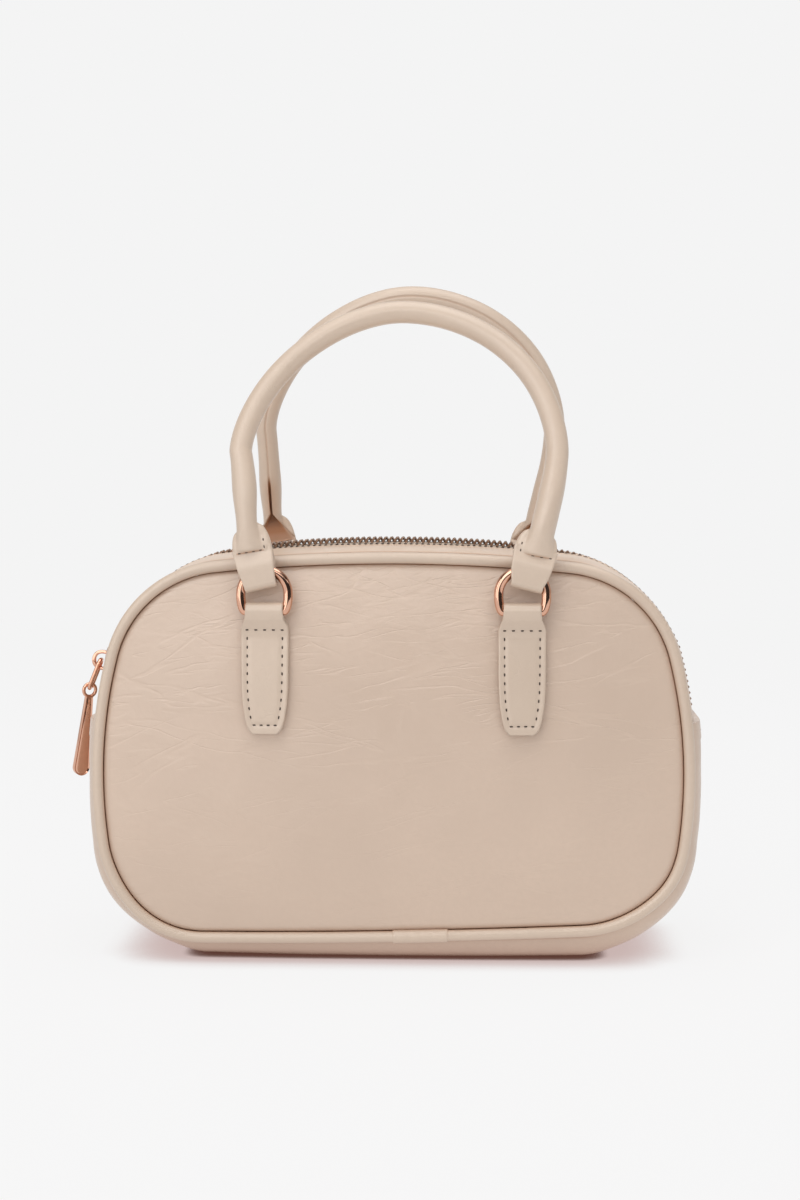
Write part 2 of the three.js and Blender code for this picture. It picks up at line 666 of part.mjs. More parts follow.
// Half of a handle's centre line from one end up to the middle, with the climb above that end
function handleHalf(handle, end) {
  const { up, across, start } = loopFrame(end);
  const base = start.clone()
    .addScaledVector(up, end.rollUp)
    .addScaledVector(across, end.sign * end.shift);
  const springZ = HANDLE_SPRING_Z + handle.rise;
  const topZ = HANDLE_TOP_Z + handle.rise;
  const inset = HANDLE_HALF - Math.abs(base.x);
  const power = (Math.tan(HANDLE_LEG_TILT) * (springZ - base.z)) / inset;
  const points = [];
  for (let k = 0; k <= HANDLE_LEG_STEPS; k += 1) {
    const z = THREE.MathUtils.lerp(base.z, springZ, (k / HANDLE_LEG_STEPS) ** HANDLE_LEG_SPACING);
    points.push({ x: HANDLE_HALF - inset * ((springZ - z) / (springZ - base.z)) ** power, z });
  }
  for (let k = 1; k < HANDLE_ARCH_STEPS / 2; k += 1) {
    const turn = (k * Math.PI) / HANDLE_ARCH_STEPS;
    points.push({
      x: HANDLE_HALF * Math.cos(turn) ** end.slack,
      z: springZ + (topZ - springZ) * Math.sin(turn) ** end.slack,
    });
  }
  const sway = (z) => handle.sway * THREE.MathUtils.smoothstep(z, base.z, springZ);
  return points.map(({ x, z }) => ({ x: end.sign * x + sway(z), z, climb: z - base.z, shift: end.shift }));
}

// Handle centre line from the left end to the right end, with the section at each step
function handleSteps(handle) {
  const [left, right] = ENDS.map((end) => handleHalf(handle, end));
  const topZ = HANDLE_TOP_Z + handle.rise;
  const top = { x: handle.sway, z: topZ, climb: topZ - left[0].z, shift: 0 };
  const leanSlope = Math.tan(THREE.MathUtils.degToRad(handle.lean));
  return [...left, top, ...right.reverse()].map(({ x, z, climb, shift }) => {
    const lean = climb < HANDLE_LEAN_ONSET
      ? (leanSlope * climb * climb) / (2 * HANDLE_LEAN_ONSET)
      : leanSlope * (climb - HANDLE_LEAN_ONSET / 2);
    const flare = 1 - THREE.MathUtils.smoothstep(climb, 0, HANDLE_FLARE);
    return {
      centre: new THREE.Vector3(x, handle.side * (RING_BAR_DEPTH - lean), z),
      halfOut: THREE.MathUtils.lerp(HANDLE_RADIUS, LOOP_TOP_WIDTH / 2 - shift, flare),
      halfIn: THREE.MathUtils.lerp(HANDLE_RADIUS, LOOP_TOP_WIDTH / 2 + shift, flare),
      halfThick: THREE.MathUtils.lerp(HANDLE_RADIUS, HANDLE_FLAT_HALF, flare),
    };
  });
}

function handleRoll(handle) {
  const steps = handleSteps(handle);
  const rings = steps.map((step, i) => {
    const ahead = steps[Math.min(i + 1, steps.length - 1)].centre;
    const behind = steps[Math.max(i - 1, 0)].centre;
    const tangent = ahead.clone().sub(behind).normalize();
    const outer = tangent.clone().cross(Y_AXIS).normalize();
    const through = outer.clone().cross(tangent);
    return Array.from({ length: HANDLE_SIDES }, (_, k) => {
      const turn = (2 * Math.PI * (k + 0.5)) / HANDLE_SIDES;
      const half = Math.cos(turn) > 0 ? step.halfOut : step.halfIn;
      return step.centre.clone()
        .addScaledVector(outer, half * Math.cos(turn))
        .addScaledVector(through, step.halfThick * Math.sin(turn));
    });
  });
  return loft(rings);
}

const bag = new THREE.Group();
bag.name = 'box_bag';
bag.add(node('gusset', gusset(), LEATHER));
bag.add(node('zip_teeth', zipTeeth(), BRONZE));
for (const { name, side } of HANDLES) {
  bag.add(node(`${name}_panel`, panel(side), LEATHER));
  bag.add(node(`${name}_piping`, piping(side), LEATHER));
  bag.add(node(`zip_strip_${name}`, zipStrip(side), LEATHER));
  bag.add(node(`zip_tape_${name}`, zipTape(side), TAPE));
}
for (const handle of HANDLES) {
  for (const end of ENDS) {
    bag.add(node(`${handle.name}_${end.name}_tab`, tab(handle.side, end.ringX), LEATHER));
    bag.add(node(`${handle.name}_${end.name}_ring`, dRing(handle.side, end.ringX), ROSE_GOLD));
  }
  const solid = union([handleRoll(handle), ...ENDS.map((end) => handleLoop(handle.side, end))]);
  bag.add(node(`${handle.name}_handle`, solid, LEATHER));
}
bag.add(node('zip_slider', zipSlider(), ROSE_GOLD));
bag.add(node('zip_pull_link', zipPullLink(), ROSE_GOLD));
bag.add(node('zip_pull_drop', zipPullDrop(), ROSE_GOLD));

export default bag;
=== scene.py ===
"""Dresses a packed rounded handbag: leather shell, piping, zip, rings, tabs and rolled handles."""

import json
import math
from collections import namedtuple

import bmesh
import bpy
import numpy as np
from bpy.props import FloatProperty, FloatVectorProperty, PointerProperty
from mathutils import Matrix, Vector, noise

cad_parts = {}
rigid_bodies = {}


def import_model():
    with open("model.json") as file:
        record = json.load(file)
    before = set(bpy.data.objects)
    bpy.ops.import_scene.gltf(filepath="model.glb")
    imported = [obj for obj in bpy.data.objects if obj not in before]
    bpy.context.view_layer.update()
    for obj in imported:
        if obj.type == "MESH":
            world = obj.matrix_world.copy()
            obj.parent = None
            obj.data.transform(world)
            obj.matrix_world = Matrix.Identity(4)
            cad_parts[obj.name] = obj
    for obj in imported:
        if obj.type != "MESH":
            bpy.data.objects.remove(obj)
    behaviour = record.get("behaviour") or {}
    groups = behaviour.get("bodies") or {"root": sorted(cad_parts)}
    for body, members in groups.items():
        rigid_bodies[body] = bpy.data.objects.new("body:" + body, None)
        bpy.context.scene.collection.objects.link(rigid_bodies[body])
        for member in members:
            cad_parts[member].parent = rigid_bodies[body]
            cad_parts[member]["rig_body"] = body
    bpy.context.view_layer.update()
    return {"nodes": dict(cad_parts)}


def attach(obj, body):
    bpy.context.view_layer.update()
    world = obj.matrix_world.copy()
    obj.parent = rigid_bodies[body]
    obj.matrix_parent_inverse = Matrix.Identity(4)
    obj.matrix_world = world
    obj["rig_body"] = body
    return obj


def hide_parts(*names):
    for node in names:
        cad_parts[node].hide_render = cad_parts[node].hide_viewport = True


bl_info = {
    "name": "Rounded leather handbag",
    "version": (1, 0, 0),
    "blender": (4, 5, 0),
    "location": "View3D > Sidebar > Handbag",
    "description": "Dresses a packed handbag in creased leather, rose gold, zip and stitches",
    "category": "Object",
}

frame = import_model()

# Shapes are worked out in millimetres and stored in metres
MM = 0.001

# Seam outline of a panel, as arcs from the middle of the top edge: radius and sweep in degrees
SEAM_TOP = 171.4
SEAM_ARCS = [(737.0, 5.9), (48.4, 69.8), (205.0, 22.5), (42.2, 80.4)]
HALF_DEPTH_BOTTOM = 46.0
HALF_DEPTH_TOP = 42.0
SLUMP = 0.026
SLUMP_FULL_Z = 14.0
SLUMP_END_Z = 44.0
WALL = 1.6
GAP = 0.3
SEAM_TABLE_STEPS = 6001
SIDES = {"front": -1, "back": 1}

# Panels
PANEL_CENTRE_Z = 90.0
PANEL_BULGE = 7.0
PANEL_BULGE_POWER = 3.0
PANEL_AROUND = 440
PANEL_OUTER_RINGS = 78
PANEL_INNER_RINGS = 10
PANEL_SPACING_POWER = 1.5
PANEL_LEAST_SHARE = 0.012
PANEL_EDGE_ROLL = 3.2
PANEL_EDGE_DIP = 1.1
PANEL_SAG = 0.55
PANEL_WAVE = 0.25
PANEL_CALM_EDGE = 14.0
# Painted shade along the panel's seam: its width in millimetres and its strength
PAINTED_SEAM_SHADE_WIDTH = 0.26
PAINTED_SEAM_SHADE = 1.1

# Piping
PIPING_OFFSET = 2.6
PIPING_SETBACK = 0.4
PIPING_RADIUS = 2.45
PIPING_STATIONS = 600
PIPING_AROUND = 18
PIPING_WAVE = 0.05
PIPING_LOWEST = 0.2
WRAP_FROM_X = 0.6
WRAP_TO_X = 24.0
WRAP_STEP = 0.5
WRAP_STATIONS = 9

# Painted shade on the piping towards the panel's seam: strength, and the shares of the way at which it
# starts and is full
PIPING_PAINTED_SHADES = [(0.1, 0.3, 0.95), (0.8, 0.93, 1.0)]

# Gusset and zip strips, as offsets out from the seam outline
GUSSET_EDGE = 3.4
GUSSET_SETBACK = 3.05
GUSSET_SWELL = 9.5
GUSSET_SWELL_DOWN = 5.2
GUSSET_POWER = 8.0
GUSSET_POWER_DOWN = 4.0
GUSSET_DRAWN_LEFT = 2.0
GUSSET_DRAWN_RIGHT = 1.6
CORNER_RISE = (0.0, 0.35)
CORNER_FALL = (0.5, 0.9)
GUSSET_STATIONS = 420
GUSSET_ACROSS = 45
GUSSET_WAVE = 0.5
GUSSET_RIPPLE = 0.3
# Shares across the gusset between which painted shade darkens it next to the piping
GUSSET_SHADE_FROM_TO = (0.976, 0.988)
HEM_LENGTH = 7.5
HEM_STEP = 0.5
HEM_STATIONS = (0.25, 0.5, 0.8, HEM_LENGTH - 0.4, HEM_LENGTH + 0.4)
HEM_PROUD = 0.45
HEM_TURN = 3.5
HEM_TURN_FROM_TO = (0.8, 1.6)
HEM_EDGE_DIP = 0.2
HEM_EDGE = 0.4
HEM_CALM = 15.0
HEM_STITCH_FROM_END = 4.6
HEM_STITCH_SUNK = 0.02
HEM_STITCH_SHORT = 17.0
ZIP_END_Z = 103.0
STRIP_EDGE = 3.6
STRIP_THICK = 1.3
STRIP_SWELL = 7.6
STRIP_SWELL_UP = 1.0
STRIP_DRAWN_IN = 1.6
STRIP_POWER = 4.5
STRIP_STATIONS = 380
STRIP_ACROSS = 45
SLOT_HALF = 6.4
STRIP_FOLD = 3.0
STRIP_STITCH_Y = 8.6
STRIP_STITCH_LIFT = 0.28
STRIP_STITCH_TIGHT = -0.15
STRIP_TIGHT_FROM_TO = (0.2, 1.2)
STRIP_STITCH_PITCH = 2.5
STRIP_STITCH_FROM_END = 3.0
STRIP_PUFF = 0.35
STRIP_FOLD_SOFT = 0.8
STRIP_EDGE_DIP = 1.1
STRIP_EDGE_ROLL = 0.9
STRIP_WAVE = 0.25

# Painted shade line that a strip shows above the piping: strength, share across the strip on the top
# and on the flanks
STRIP_SHADE = 0.65
STRIP_SHADE_TOP = 0.12
STRIP_SHADE_FLANK = 0.25
STRIP_SHADE_RISE = (-0.04, -0.015)
STRIP_SHADE_FALL = (0.018, 0.06)

# Zip tape, teeth, slider and pull
TAPE_THICK = 0.8
TAPE_OUTER = 14.0
TAPE_INNER = 3.55
TAPE_CLOSED = 0.25
TAPE_RISE = 3.1
TAPE_RISE_END = 6.2
TAPE_DRAWN_IN = 2.0
TAPE_ACROSS = 25
TAPE_MEETING = 3.0
TAPE_END_FROM = 5.0
TAPE_END_TO = 2.5
TEETH_PROUD = 3.3
TEETH_DRAWN_IN = 2.4

# Places where the teeth lie lower: x, half width and depth
TEETH_SINKS = [(-88.0, 28.0, 2.4), (84.0, 26.0, 2.3), (126.0, 16.0, 1.4)]
TOOTH_HEIGHT = 2.4
TOOTH_WIDTH = 1.1
TOOTH_LEAN = 0.6
TOOTH_REACH = 4.2
TOOTH_CROSSING = 0.6
TEETH_FROM_SLIDER = 1.2
TEETH_FROM_END = 1.6
SLIDER_Z = 123.0
SLIDER_LENGTH = 14.0
SLIDER_WIDTH = 9.5
SLIDER_PLATE = 1.8
SLIDER_CORNER = 3.2
SLIDER_CORE = 6.0
SLIDER_CORE_LENGTH = 8.4
SLIDER_TOP = 11.4
SLIDER_INNER_TOP = 3.8
BRIDGE_WIDTH = 3.0
BRIDGE_LENGTH = 9.0
BRIDGE_OPEN_LENGTH = 6.0
BRIDGE_OPEN_HEIGHT = 4.6
BRIDGE_HEIGHT = 6.2
BRIDGE_SUNK = 0.5
BRIDGE_POWER = 0.6
BRIDGE_STEPS = 25
SLIDER_CORE_CORNER = 1.0
SLIDER_CORE_SUNK = 0.2
SLIDER_BEVEL = 0.4
WIRE_AROUND = 14
LINK_WIRE = 0.9
LINK_LENGTH = 14.0
LINK_HALF = 3.2
LINK_BEND = 2.6
LINK_BEND_STEPS = 10
LINK_TILT = math.radians(22)
DROP_EYE = 2.9
DROP_EYE_WIRE = 0.8
DROP_EYE_STEPS = 40
DROP_FOOT_STEPS = 19
DROP_SLACK = 0.9
DROP_LENGTH = 39.0
DROP_NECK_HALF = 1.5
DROP_HALF = 3.65
DROP_THICK = 2.4
DROP_RIM = 0.6
DROP_GROOVE = 0.6
DROP_RECESS = 0.5
DROP_BEVEL = 0.28
DROP_TILT = math.radians(7)
DROP_TWIST = math.radians(37)

# Rings and tabs
RING_BAR_Z = 152.0
RING_WIRE = 2.0
RING_HALF = 10.0
RING_CORNER_WIDTH = 2.0
RING_CORNER_HEIGHT = 6.6
RING_ARC_CENTRE = 7.3
RING_AROUND = 20
RING_BAR_STEPS = 8
RING_CORNER_STEPS = 17
RING_ARC_STEPS = 25
TAB_PLY = 1.3
TAB_BETWEEN = 0.25
TAB_CLEAR = 0.35
TAB_FOOT_Z = 100.0
TAB_CONVERGE_Z = 144.0
TAB_NECK_Z = 148.6
TAB_NECK = 14.8
TAB_FOLD_WIDTH = 15.9
TAB_LIFT_BELOW = 4.0
TAB_LIFT_ABOVE = 3.0

# Heights and widths of a tab below its shoulder
TAB_WIDTHS = [
    (100.0, 10.8), (100.8, 13.0), (102.2, 14.7), (106.0, 16.9), (111.8, 18.8), (118.0, 19.7),
    (125.0, 20.0), (135.0, 20.1), (143.0, 20.2),
]
TAB_SHOULDER_FROM = 143.4
TAB_SHOULDER_TO = 150.5
TAB_ROWS = 90
TAB_FOLD_ROWS = 24
TAB_ACROSS = 27
TAB_STITCH_INSET = 2.6
TAB_STITCH_SUNK = 0.22
TAB_STITCH_TOP = 143.9
TAB_STITCH_FOOT = 103.6
TAB_STITCH_FLANK_FOOT = 106.9
TAB_STITCH_FOOT_REACH = 4.5
TAB_STITCHES = {"top": 5, "flank": 10, "foot": 4}
TAB_GROOVE = 0.36
TAB_GROOVE_WIDTH = 0.85
TAB_GROOVE_TOP = 8.4
TAB_GROOVE_FOOT = 5.5

# Handles; the front one leans in more and so stands lower
Handle = namedtuple("Handle", "name side lean rise sway")
HANDLES = [Handle("front", -1, 18.0, 0.0, 2.8), Handle("back", 1, 12.0, 10.6, 4.3)]

# Ends of a handle: place of the ring, tilt of the loop in degrees, slide of the loop and shift of the
# roll to the outer side, slack of the arch, start of the roll above the ring's top, half widths of the
# flat flap and of the roll's raised end, neck of the roll, run of the flap on the inner side
End = namedtuple("End", "name sign ring_x tilt slide shift slack roll_up flap core neck flap_run")
ENDS = [
    End("left", -1, -53.4, 13.5, 0.6, 1.0, 1.15, 8.0, 8.5, 5.8, -0.09, 12.0),
    End("right", 1, 55.3, 14.4, 0.8, 1.1, 1.0, 6.4, 9.2, 6.8, 0.1, 10.5),
]
LOOP_PLY = 1.5
LOOP_SPREAD = 3.1
LOOP_FOLD = -5.4
LOOP_FOLD_DROP = 2.1
LOOP_FOLD_WIDTH = 13.8

# Front of a loop from its top: rise above the ring's top, distance out and share of the flap's width
LOOP_ROWS = [
    (10.0, 0.85, 1.0), (7.0, 1.15, 0.99), (4.5, 2.3, 0.965), (2.0, 3.0, 0.93), (-2.0, 3.1, 0.86),
]
LOOP_ACROSS = 19
LOOP_FOLD_STEPS = 11
LOOP_STEPS = 6
HANDLE_RADIUS = 4.8
HANDLE_SPRING_Z = 219.0
HANDLE_TOP_Z = 279.4
HANDLE_HALF = 67.0
HANDLE_LEG_TILT = math.radians(10)
HANDLE_LEAN_ONSET = 30.0
HANDLE_LEG_STATIONS = 84
HANDLE_ARCH_STATIONS = 74
HANDLE_LEG_SPACING = 1.25
HANDLE_WAVE = 0.012
HANDLE_AROUND = 88
FLAP_OUTER_RUN = 9.0
FLAP_PLY = 1.95
FLAP_PLY_ABOVE = 1.2
CORE_RUN = 13.0
CORE_THICK = 3.7
CORE_CORNER = 2.4
CORE_END_CLIMB = 27.0
CORE_END_SWELL = 0.09
NECK_CLIMB = 13.0
SWELL_RUN = 9.0
CORE_FOOT_FROM_TO = (-0.2, 1.6)
FLAP_PLY_FROM_TO = (2.0, 8.0)
# Painted shade across a handle's raised end: climb, width and strength
FLAP_SHADE_CLIMB = 0.3
FLAP_SHADE_WIDTH = 0.35
FLAP_END_SHADE = 0.7
FLAP_EDGE_POWER = 8
CORE_BLEND_POWER = 4
SLIT_CLIMB = 33.0
SLIT_HALF = 0.3
# Painted shade beside a parted slit
SLIT_SIDE_SHADE = 0.4
SLIT_OPEN_CLIMB = 13.5
SLIT_OPEN_HALF = 9.0
SLIT_OPEN_FROM_TO = (0.08, 0.95)
# Width of the painted shade beside the slit
SLIT_SIDE_SHADE_WIDTH = 2.4
SLIT_CLOSING = 8.0
SLIT_PARTED_WIDER = 0.4
SLIT_SHALLOW = 0.4
SLIT_DEEP = 2.4
SLIT_LEAST = 0.4
SLIT_DEEPENING = 3.0
SLIT_INNER = 0.75
SLIT_OUTER = 1.15
SLIT_EDGE = 0.2
# Painted shade in the slit when shut, parted and open
SLIT_SHADES = {"shut": 0.3, "parted": 1.6, "open": 0.78}
HANDLE_STITCH_SUNK = 0.12
ARCH_SMOOTHING = 60
ARCH_SMOOTH_ABOVE = 20.0

# Stitches at a handle's end: climb and inset of the row across, and climbs of those up the inner side
END_STITCH_CLIMB = 0.45
END_STITCH_INSET = 1.3
END_STITCH_COUNT = 4
END_STITCH_STEPS = 181
SIDE_STITCH_OUT = 0.5
SIDE_STITCH_CLIMBS = (1.6, 4.4)
STITCH_TAPER = 0.7
THREAD_FLATNESS = 0.8

Seam = namedtuple("Seam", "x z nx nz slump")


def smoothstep(value, low, high):
    """Smooth rise from 0 at low to 1 at high."""
    t = np.clip((np.asarray(value, float) - low) / (high - low), 0.0, 1.0)
    return t * t * (3.0 - 2.0 * t)


def mix(a, b, share):
    """Value that is a share of the way from a to b."""
    return a + (b - a) * share


def bump_at(value, centre, width):
    """Bell curve of height 1 round a centre."""
    return np.exp(-(((value - centre) / width) ** 2))


def unit(rows):
    """Rows of directions, each brought to length 1."""
    return rows / np.linalg.norm(rows, axis=1)[:, None]


def full_turn(count):
    """Angles once round, evenly spaced."""
    return np.linspace(0.0, 2 * math.pi, count, endpoint=False)


def seam_rows():
    """Radius, first heading, x, z and start length of each arc of the right half, its length and foot."""
    rows = []
    heading = 0.0
    x = 0.0
    z = SEAM_TOP
    start = 0.0
    for radius, degrees in SEAM_ARCS + [(None, None)]:
        if radius is None:
            radius = x / math.sin(heading)
            sweep = math.pi - heading
        else:
            sweep = math.radians(degrees)
        rows.append((radius, heading, x, z, start))
        x += radius * (math.sin(heading + sweep) - math.sin(heading))
        z += radius * (math.cos(heading + sweep) - math.cos(heading))
        start += radius * sweep
        heading += sweep
    return np.array(rows), start, z


SEAM_ROWS, SEAM_HALF, SEAM_FOOT = seam_rows()


def seam_at(lengths):
    """Points, normals and slump of the seam at lengths from the top's middle, positive to the right."""
    lengths = np.asarray(lengths, float)
    wrapped = np.where(lengths > SEAM_HALF, lengths - 2 * SEAM_HALF, lengths)
    side = np.where(wrapped < 0, -1.0, 1.0)
    along = np.minimum(np.abs(wrapped), SEAM_HALF)
    index = np.searchsorted(SEAM_ROWS[:, 4], along, side="right") - 1
    radius, heading, x, z, start = SEAM_ROWS[index].T
    angle = heading + (along - start) / radius
    x = side * (x + radius * (np.sin(angle) - np.sin(heading)))
    z = z + radius * (np.cos(angle) - np.cos(heading))
    slump = SLUMP * x * (1.0 - smoothstep(z, SLUMP_FULL_Z, SLUMP_END_Z))
    return Seam(x, z + slump, side * np.sin(angle), np.cos(angle), slump)


TABLE_LENGTHS = np.linspace(0.0, SEAM_HALF, SEAM_TABLE_STEPS)
TABLE_SEAM = seam_at(TABLE_LENGTHS)
TABLE_ANGLES = np.arctan2(TABLE_SEAM.x, TABLE_SEAM.z - PANEL_CENTRE_Z)
TABLE_RADII = np.hypot(TABLE_SEAM.x, TABLE_SEAM.z - PANEL_CENTRE_Z)


def seam_length_at(z):
    """Length from the top at which the right half of the seam comes down to a height."""
    return float(np.interp(-z, -TABLE_SEAM.z, TABLE_LENGTHS))


def seam_columns(lengths):
    """The seam at lengths, in columns for the sheets that run along it."""
    return Seam(*(values[:, None] for values in seam_at(lengths)))


def lifted(seam, y, offset):
    """Points at a depth and at an offset out from the seam outline."""
    places = np.broadcast_arrays(seam.x + seam.nx * offset, y, seam.z + seam.nz * offset)
    return np.stack(places, axis=-1)


def upright(x, z):
    """Directions in the plane of the panels."""
    return np.stack([x, np.zeros(len(x)), z], axis=1)


def there_and_back(outer, inner):
    """Rows along an outer surface, followed by those of the inner one taken backwards."""
    return np.concatenate([outer, inner[:, ::-1]], axis=1)


ZIP_END = seam_length_at(ZIP_END_Z)
SLIDER_ALONG = seam_length_at(SLIDER_Z)


def half_depth(z):
    """Half of the bag's depth at the seam."""
    share = (z - SEAM_FOOT) / (SEAM_TOP - SEAM_FOOT)
    return mix(HALF_DEPTH_BOTTOM, HALF_DEPTH_TOP, share)


def panel_depth(z, share):
    """Depth of a panel's face at a height and a share of the way from its middle to its seam."""
    return half_depth(z) + PANEL_BULGE * (1.0 - share**PANEL_BULGE_POWER)


def panel_face(x, z):
    """Depth of a panel's face at a point."""
    angle = np.arctan2(np.abs(x), z - PANEL_CENTRE_Z)
    share = np.hypot(x, z - PANEL_CENTRE_Z) / np.interp(angle, TABLE_ANGLES, TABLE_RADII)
    return panel_depth(z, share)


def edge_depth(seam):
    """Depth at which the gusset and the zip strips meet the piping."""
    return half_depth(seam.z) - GUSSET_SETBACK


def gusset_offset(seam, y):
    """How far the gusset stands out from the seam outline."""
    down = np.maximum(0.0, -seam.nz)
    turned = np.abs(seam.nx)
    corner = smoothstep(turned, *CORNER_RISE) * (1.0 - smoothstep(turned, *CORNER_FALL)) * (down > 0)
    drawn_in = np.where(seam.nx < 0, GUSSET_DRAWN_LEFT, GUSSET_DRAWN_RIGHT)
    swell = GUSSET_SWELL + (GUSSET_SWELL_DOWN + seam.slump) * down - drawn_in * corner
    across = np.abs(y) / edge_depth(seam)
    power = GUSSET_POWER + GUSSET_POWER_DOWN * down
    return GUSSET_EDGE + (swell - GUSSET_EDGE) * (1.0 - across**power)


def shoulder_pull(seam):
    """How sharply the zip is drawn over a shoulder, from 0 on the top and the flanks to 1."""
    return (2.0 * seam.nx * seam.nz) ** 2


def strip_offset(seam, y):
    """How far a zip strip stands out from the seam outline."""
    swell = STRIP_SWELL - STRIP_SWELL_UP * seam.nz - STRIP_DRAWN_IN * shoulder_pull(seam)
    across = np.abs(y) / edge_depth(seam)
    return STRIP_EDGE + (swell - STRIP_EDGE) * (1.0 - across**STRIP_POWER)


NECK_X = min(abs(end.ring_x) for end in ENDS) - TAB_NECK / 2
NECK_FACE = float(panel_face(NECK_X, TAB_CONVERGE_Z))
RING_BAR_DEPTH = NECK_FACE + GAP + TAB_PLY + TAB_CLEAR + RING_WIRE


# Sizes and seeds of the waves that the surfaces are given
RIPPLES = {
    "panel sag": (70.0, 1), "panel wave": (24.0, 2), "piping": (15.0, 3), "gusset wave": (34.0, 5),
    "gusset ripple": (13.0, 6), "strip": (22.0, 7), "handle": (16.0, 11),
}


def ripple(points, kind):
    """Smooth random values from about -1 to 1 at points, for one kind of wave."""
    size, seed = RIPPLES[kind]
    shift = Vector((17.3 * seed, 31.7 * seed, 7.9 * seed))
    flat = np.asarray(points, float).reshape(-1, 3) / size
    values = np.array([noise.noise(Vector(point) + shift) for point in flat])
    return values.reshape(np.asarray(points).shape[:-1])


def hollows(points, kind):
    """Smooth random values from about 0 to 1 at points, for one kind of wave."""
    return 0.5 + 0.5 * ripple(points, kind)


def lofted(name, rings, closed=False, poles=None, uv=False, shade=None):
    """Closed mesh through rings of points; an open end is closed across its section or at a pole."""
    rings = np.asarray(rings, float)
    stations, count = rings.shape[:2]
    points = rings.reshape(-1, 3)
    faces = []
    for r in range(stations if closed else stations - 1):
        here = r * count
        there = ((r + 1) % stations) * count
        for i in range(count):
            j = (i + 1) % count
            faces.append((here + i, here + j, there + j, there + i))
    last = (stations - 1) * count
    if poles is not None:
        points = np.vstack([points, poles])
        for i in range(count):
            j = (i + 1) % count
            faces.append((stations * count, j, i))
            faces.append((stations * count + 1, last + i, last + j))
    elif not closed:
        for i in range(count // 2 - 1):
            far = count - 1 - i
            faces.append((i, far, far - 1, i + 1))
            faces.append((last + i, last + i + 1, last + far - 1, last + far))
    mesh = bpy.data.meshes.new(name)
    mesh.from_pydata(points * MM, [], faces)
    if shade is not None:
        values = np.zeros(len(points), np.float32)
        values[: stations * count] = np.asarray(shade, np.float32).reshape(-1)
        mesh.attributes.new("seam_shade", "FLOAT", "POINT").data.foreach_set("value", values)
    if uv:
        add_uv(mesh, rings)
    face_outwards(mesh)
    return mesh


def add_uv(mesh, rings):
    """UV map in metres: along the stations and round the sections."""
    stations, count = rings.shape[:2]
    middle = rings.mean(1)
    along = np.concatenate([[0.0], np.cumsum(np.linalg.norm(np.diff(middle, axis=0), axis=1))]) * MM
    section = rings[stations // 2]
    steps = np.linalg.norm(np.diff(section, axis=0), axis=1)
    across = np.concatenate([[0.0], np.cumsum(steps)]) * MM
    layer = mesh.uv_layers.new(name="UVMap")
    loops = np.zeros(len(mesh.loops), int)
    mesh.loops.foreach_get("vertex_index", loops)
    inside = np.minimum(loops, stations * count - 1)
    places = np.stack([along[inside // count], across[inside % count]], axis=1)
    layer.data.foreach_set("uv", places.astype(np.float32).reshape(-1))


def face_outwards(mesh):
    """Turn a closed mesh so that its faces point outwards."""
    mesh.calc_loop_triangles()
    corners = np.zeros(len(mesh.vertices) * 3)
    mesh.vertices.foreach_get("co", corners)
    corners = corners.reshape(-1, 3)
    triangles = np.zeros(len(mesh.loop_triangles) * 3, int)
    mesh.loop_triangles.foreach_get("vertices", triangles)
    a, b, c = corners[triangles.reshape(-1, 3)].transpose(1, 0, 2)
    if np.einsum("ij,ij->i", a, np.cross(b, c)).sum() < 0:
        mesh.flip_normals()


def mesh_of(shape, name):
    """Mesh of a finished shape."""
    mesh = bpy.data.meshes.new(name)
    shape.to_mesh(mesh)
    shape.free()
    return mesh


def stacked(name, rows):
    """Closed mesh of outlines set on each other, with a face over each end."""
    shape = bmesh.new()
    rows = [[shape.verts.new(point) for point in row] for row in rows]
    for low, high in zip(rows, rows[1:]):
        for i in range(len(low)):
            j = (i + 1) % len(low)
            shape.faces.new((low[i], low[j], high[j], high[i]))
    shape.faces.new(rows[0][::-1])
    shape.faces.new(rows[-1])
    bmesh.ops.recalc_face_normals(shape, faces=shape.faces)
    return mesh_of(shape, name)


def catmull(rows, steps):
    """Smooth line through rows of values."""
    rows = np.asarray(rows, float)
    padded = np.vstack([2 * rows[0] - rows[1], rows, 2 * rows[-1] - rows[-2]])
    line = []
    for k in range(1, len(padded) - 2):
        p0, p1, p2, p3 = padded[k - 1 : k + 3]
        for t in np.linspace(0.0, 1.0, steps, endpoint=False):
            line.append(
                0.5 * (2 * p1 + (p2 - p0) * t + (2 * p0 - 5 * p1 + 4 * p2 - p3) * t**2
                       + (3 * p1 - p0 - 3 * p2 + p3) * t**3)
            )
    line.append(rows[-1])
    return np.array(line)


def slab_section(across, half_thick, round_steps=5):
    """Places round a flat strip's section with round edges: how far across, and -1 to 1 through it."""
    across = np.asarray(across, float)
    turn = np.linspace(-math.pi / 2, math.pi / 2, round_steps + 2)[1:-1]
    far_edge = across[-1] - half_thick + half_thick * np.cos(turn)
    near_edge = across[0] + half_thick - half_thick * np.cos(turn)
    body = across.copy()
    body[0] += half_thick
    body[-1] -= half_thick
    places = np.concatenate([body, far_edge, body[::-1], near_edge])
    through = np.concatenate([np.ones(len(body)), -np.sin(turn), -np.ones(len(body)), np.sin(turn)])
    return places, through


def add_object(name, data):
    """New object in the scene."""
    obj = bpy.data.objects.new(name, data)
    bpy.context.scene.collection.objects.link(obj)
    return obj


def piece(mesh, material, body, nodes=(), sharp=40.0):
    """Object of a finished mesh that rides on a body and stands for CAD nodes."""
    obj = add_object(mesh.name, mesh)
    mesh.materials.clear()
    mesh.materials.append(material)
    mesh.polygons.foreach_set("use_smooth", np.ones(len(mesh.polygons), bool))
    mesh.set_sharp_from_angle(angle=math.radians(sharp))
    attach(obj, body)
    if nodes:
        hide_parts(*nodes)
    return obj


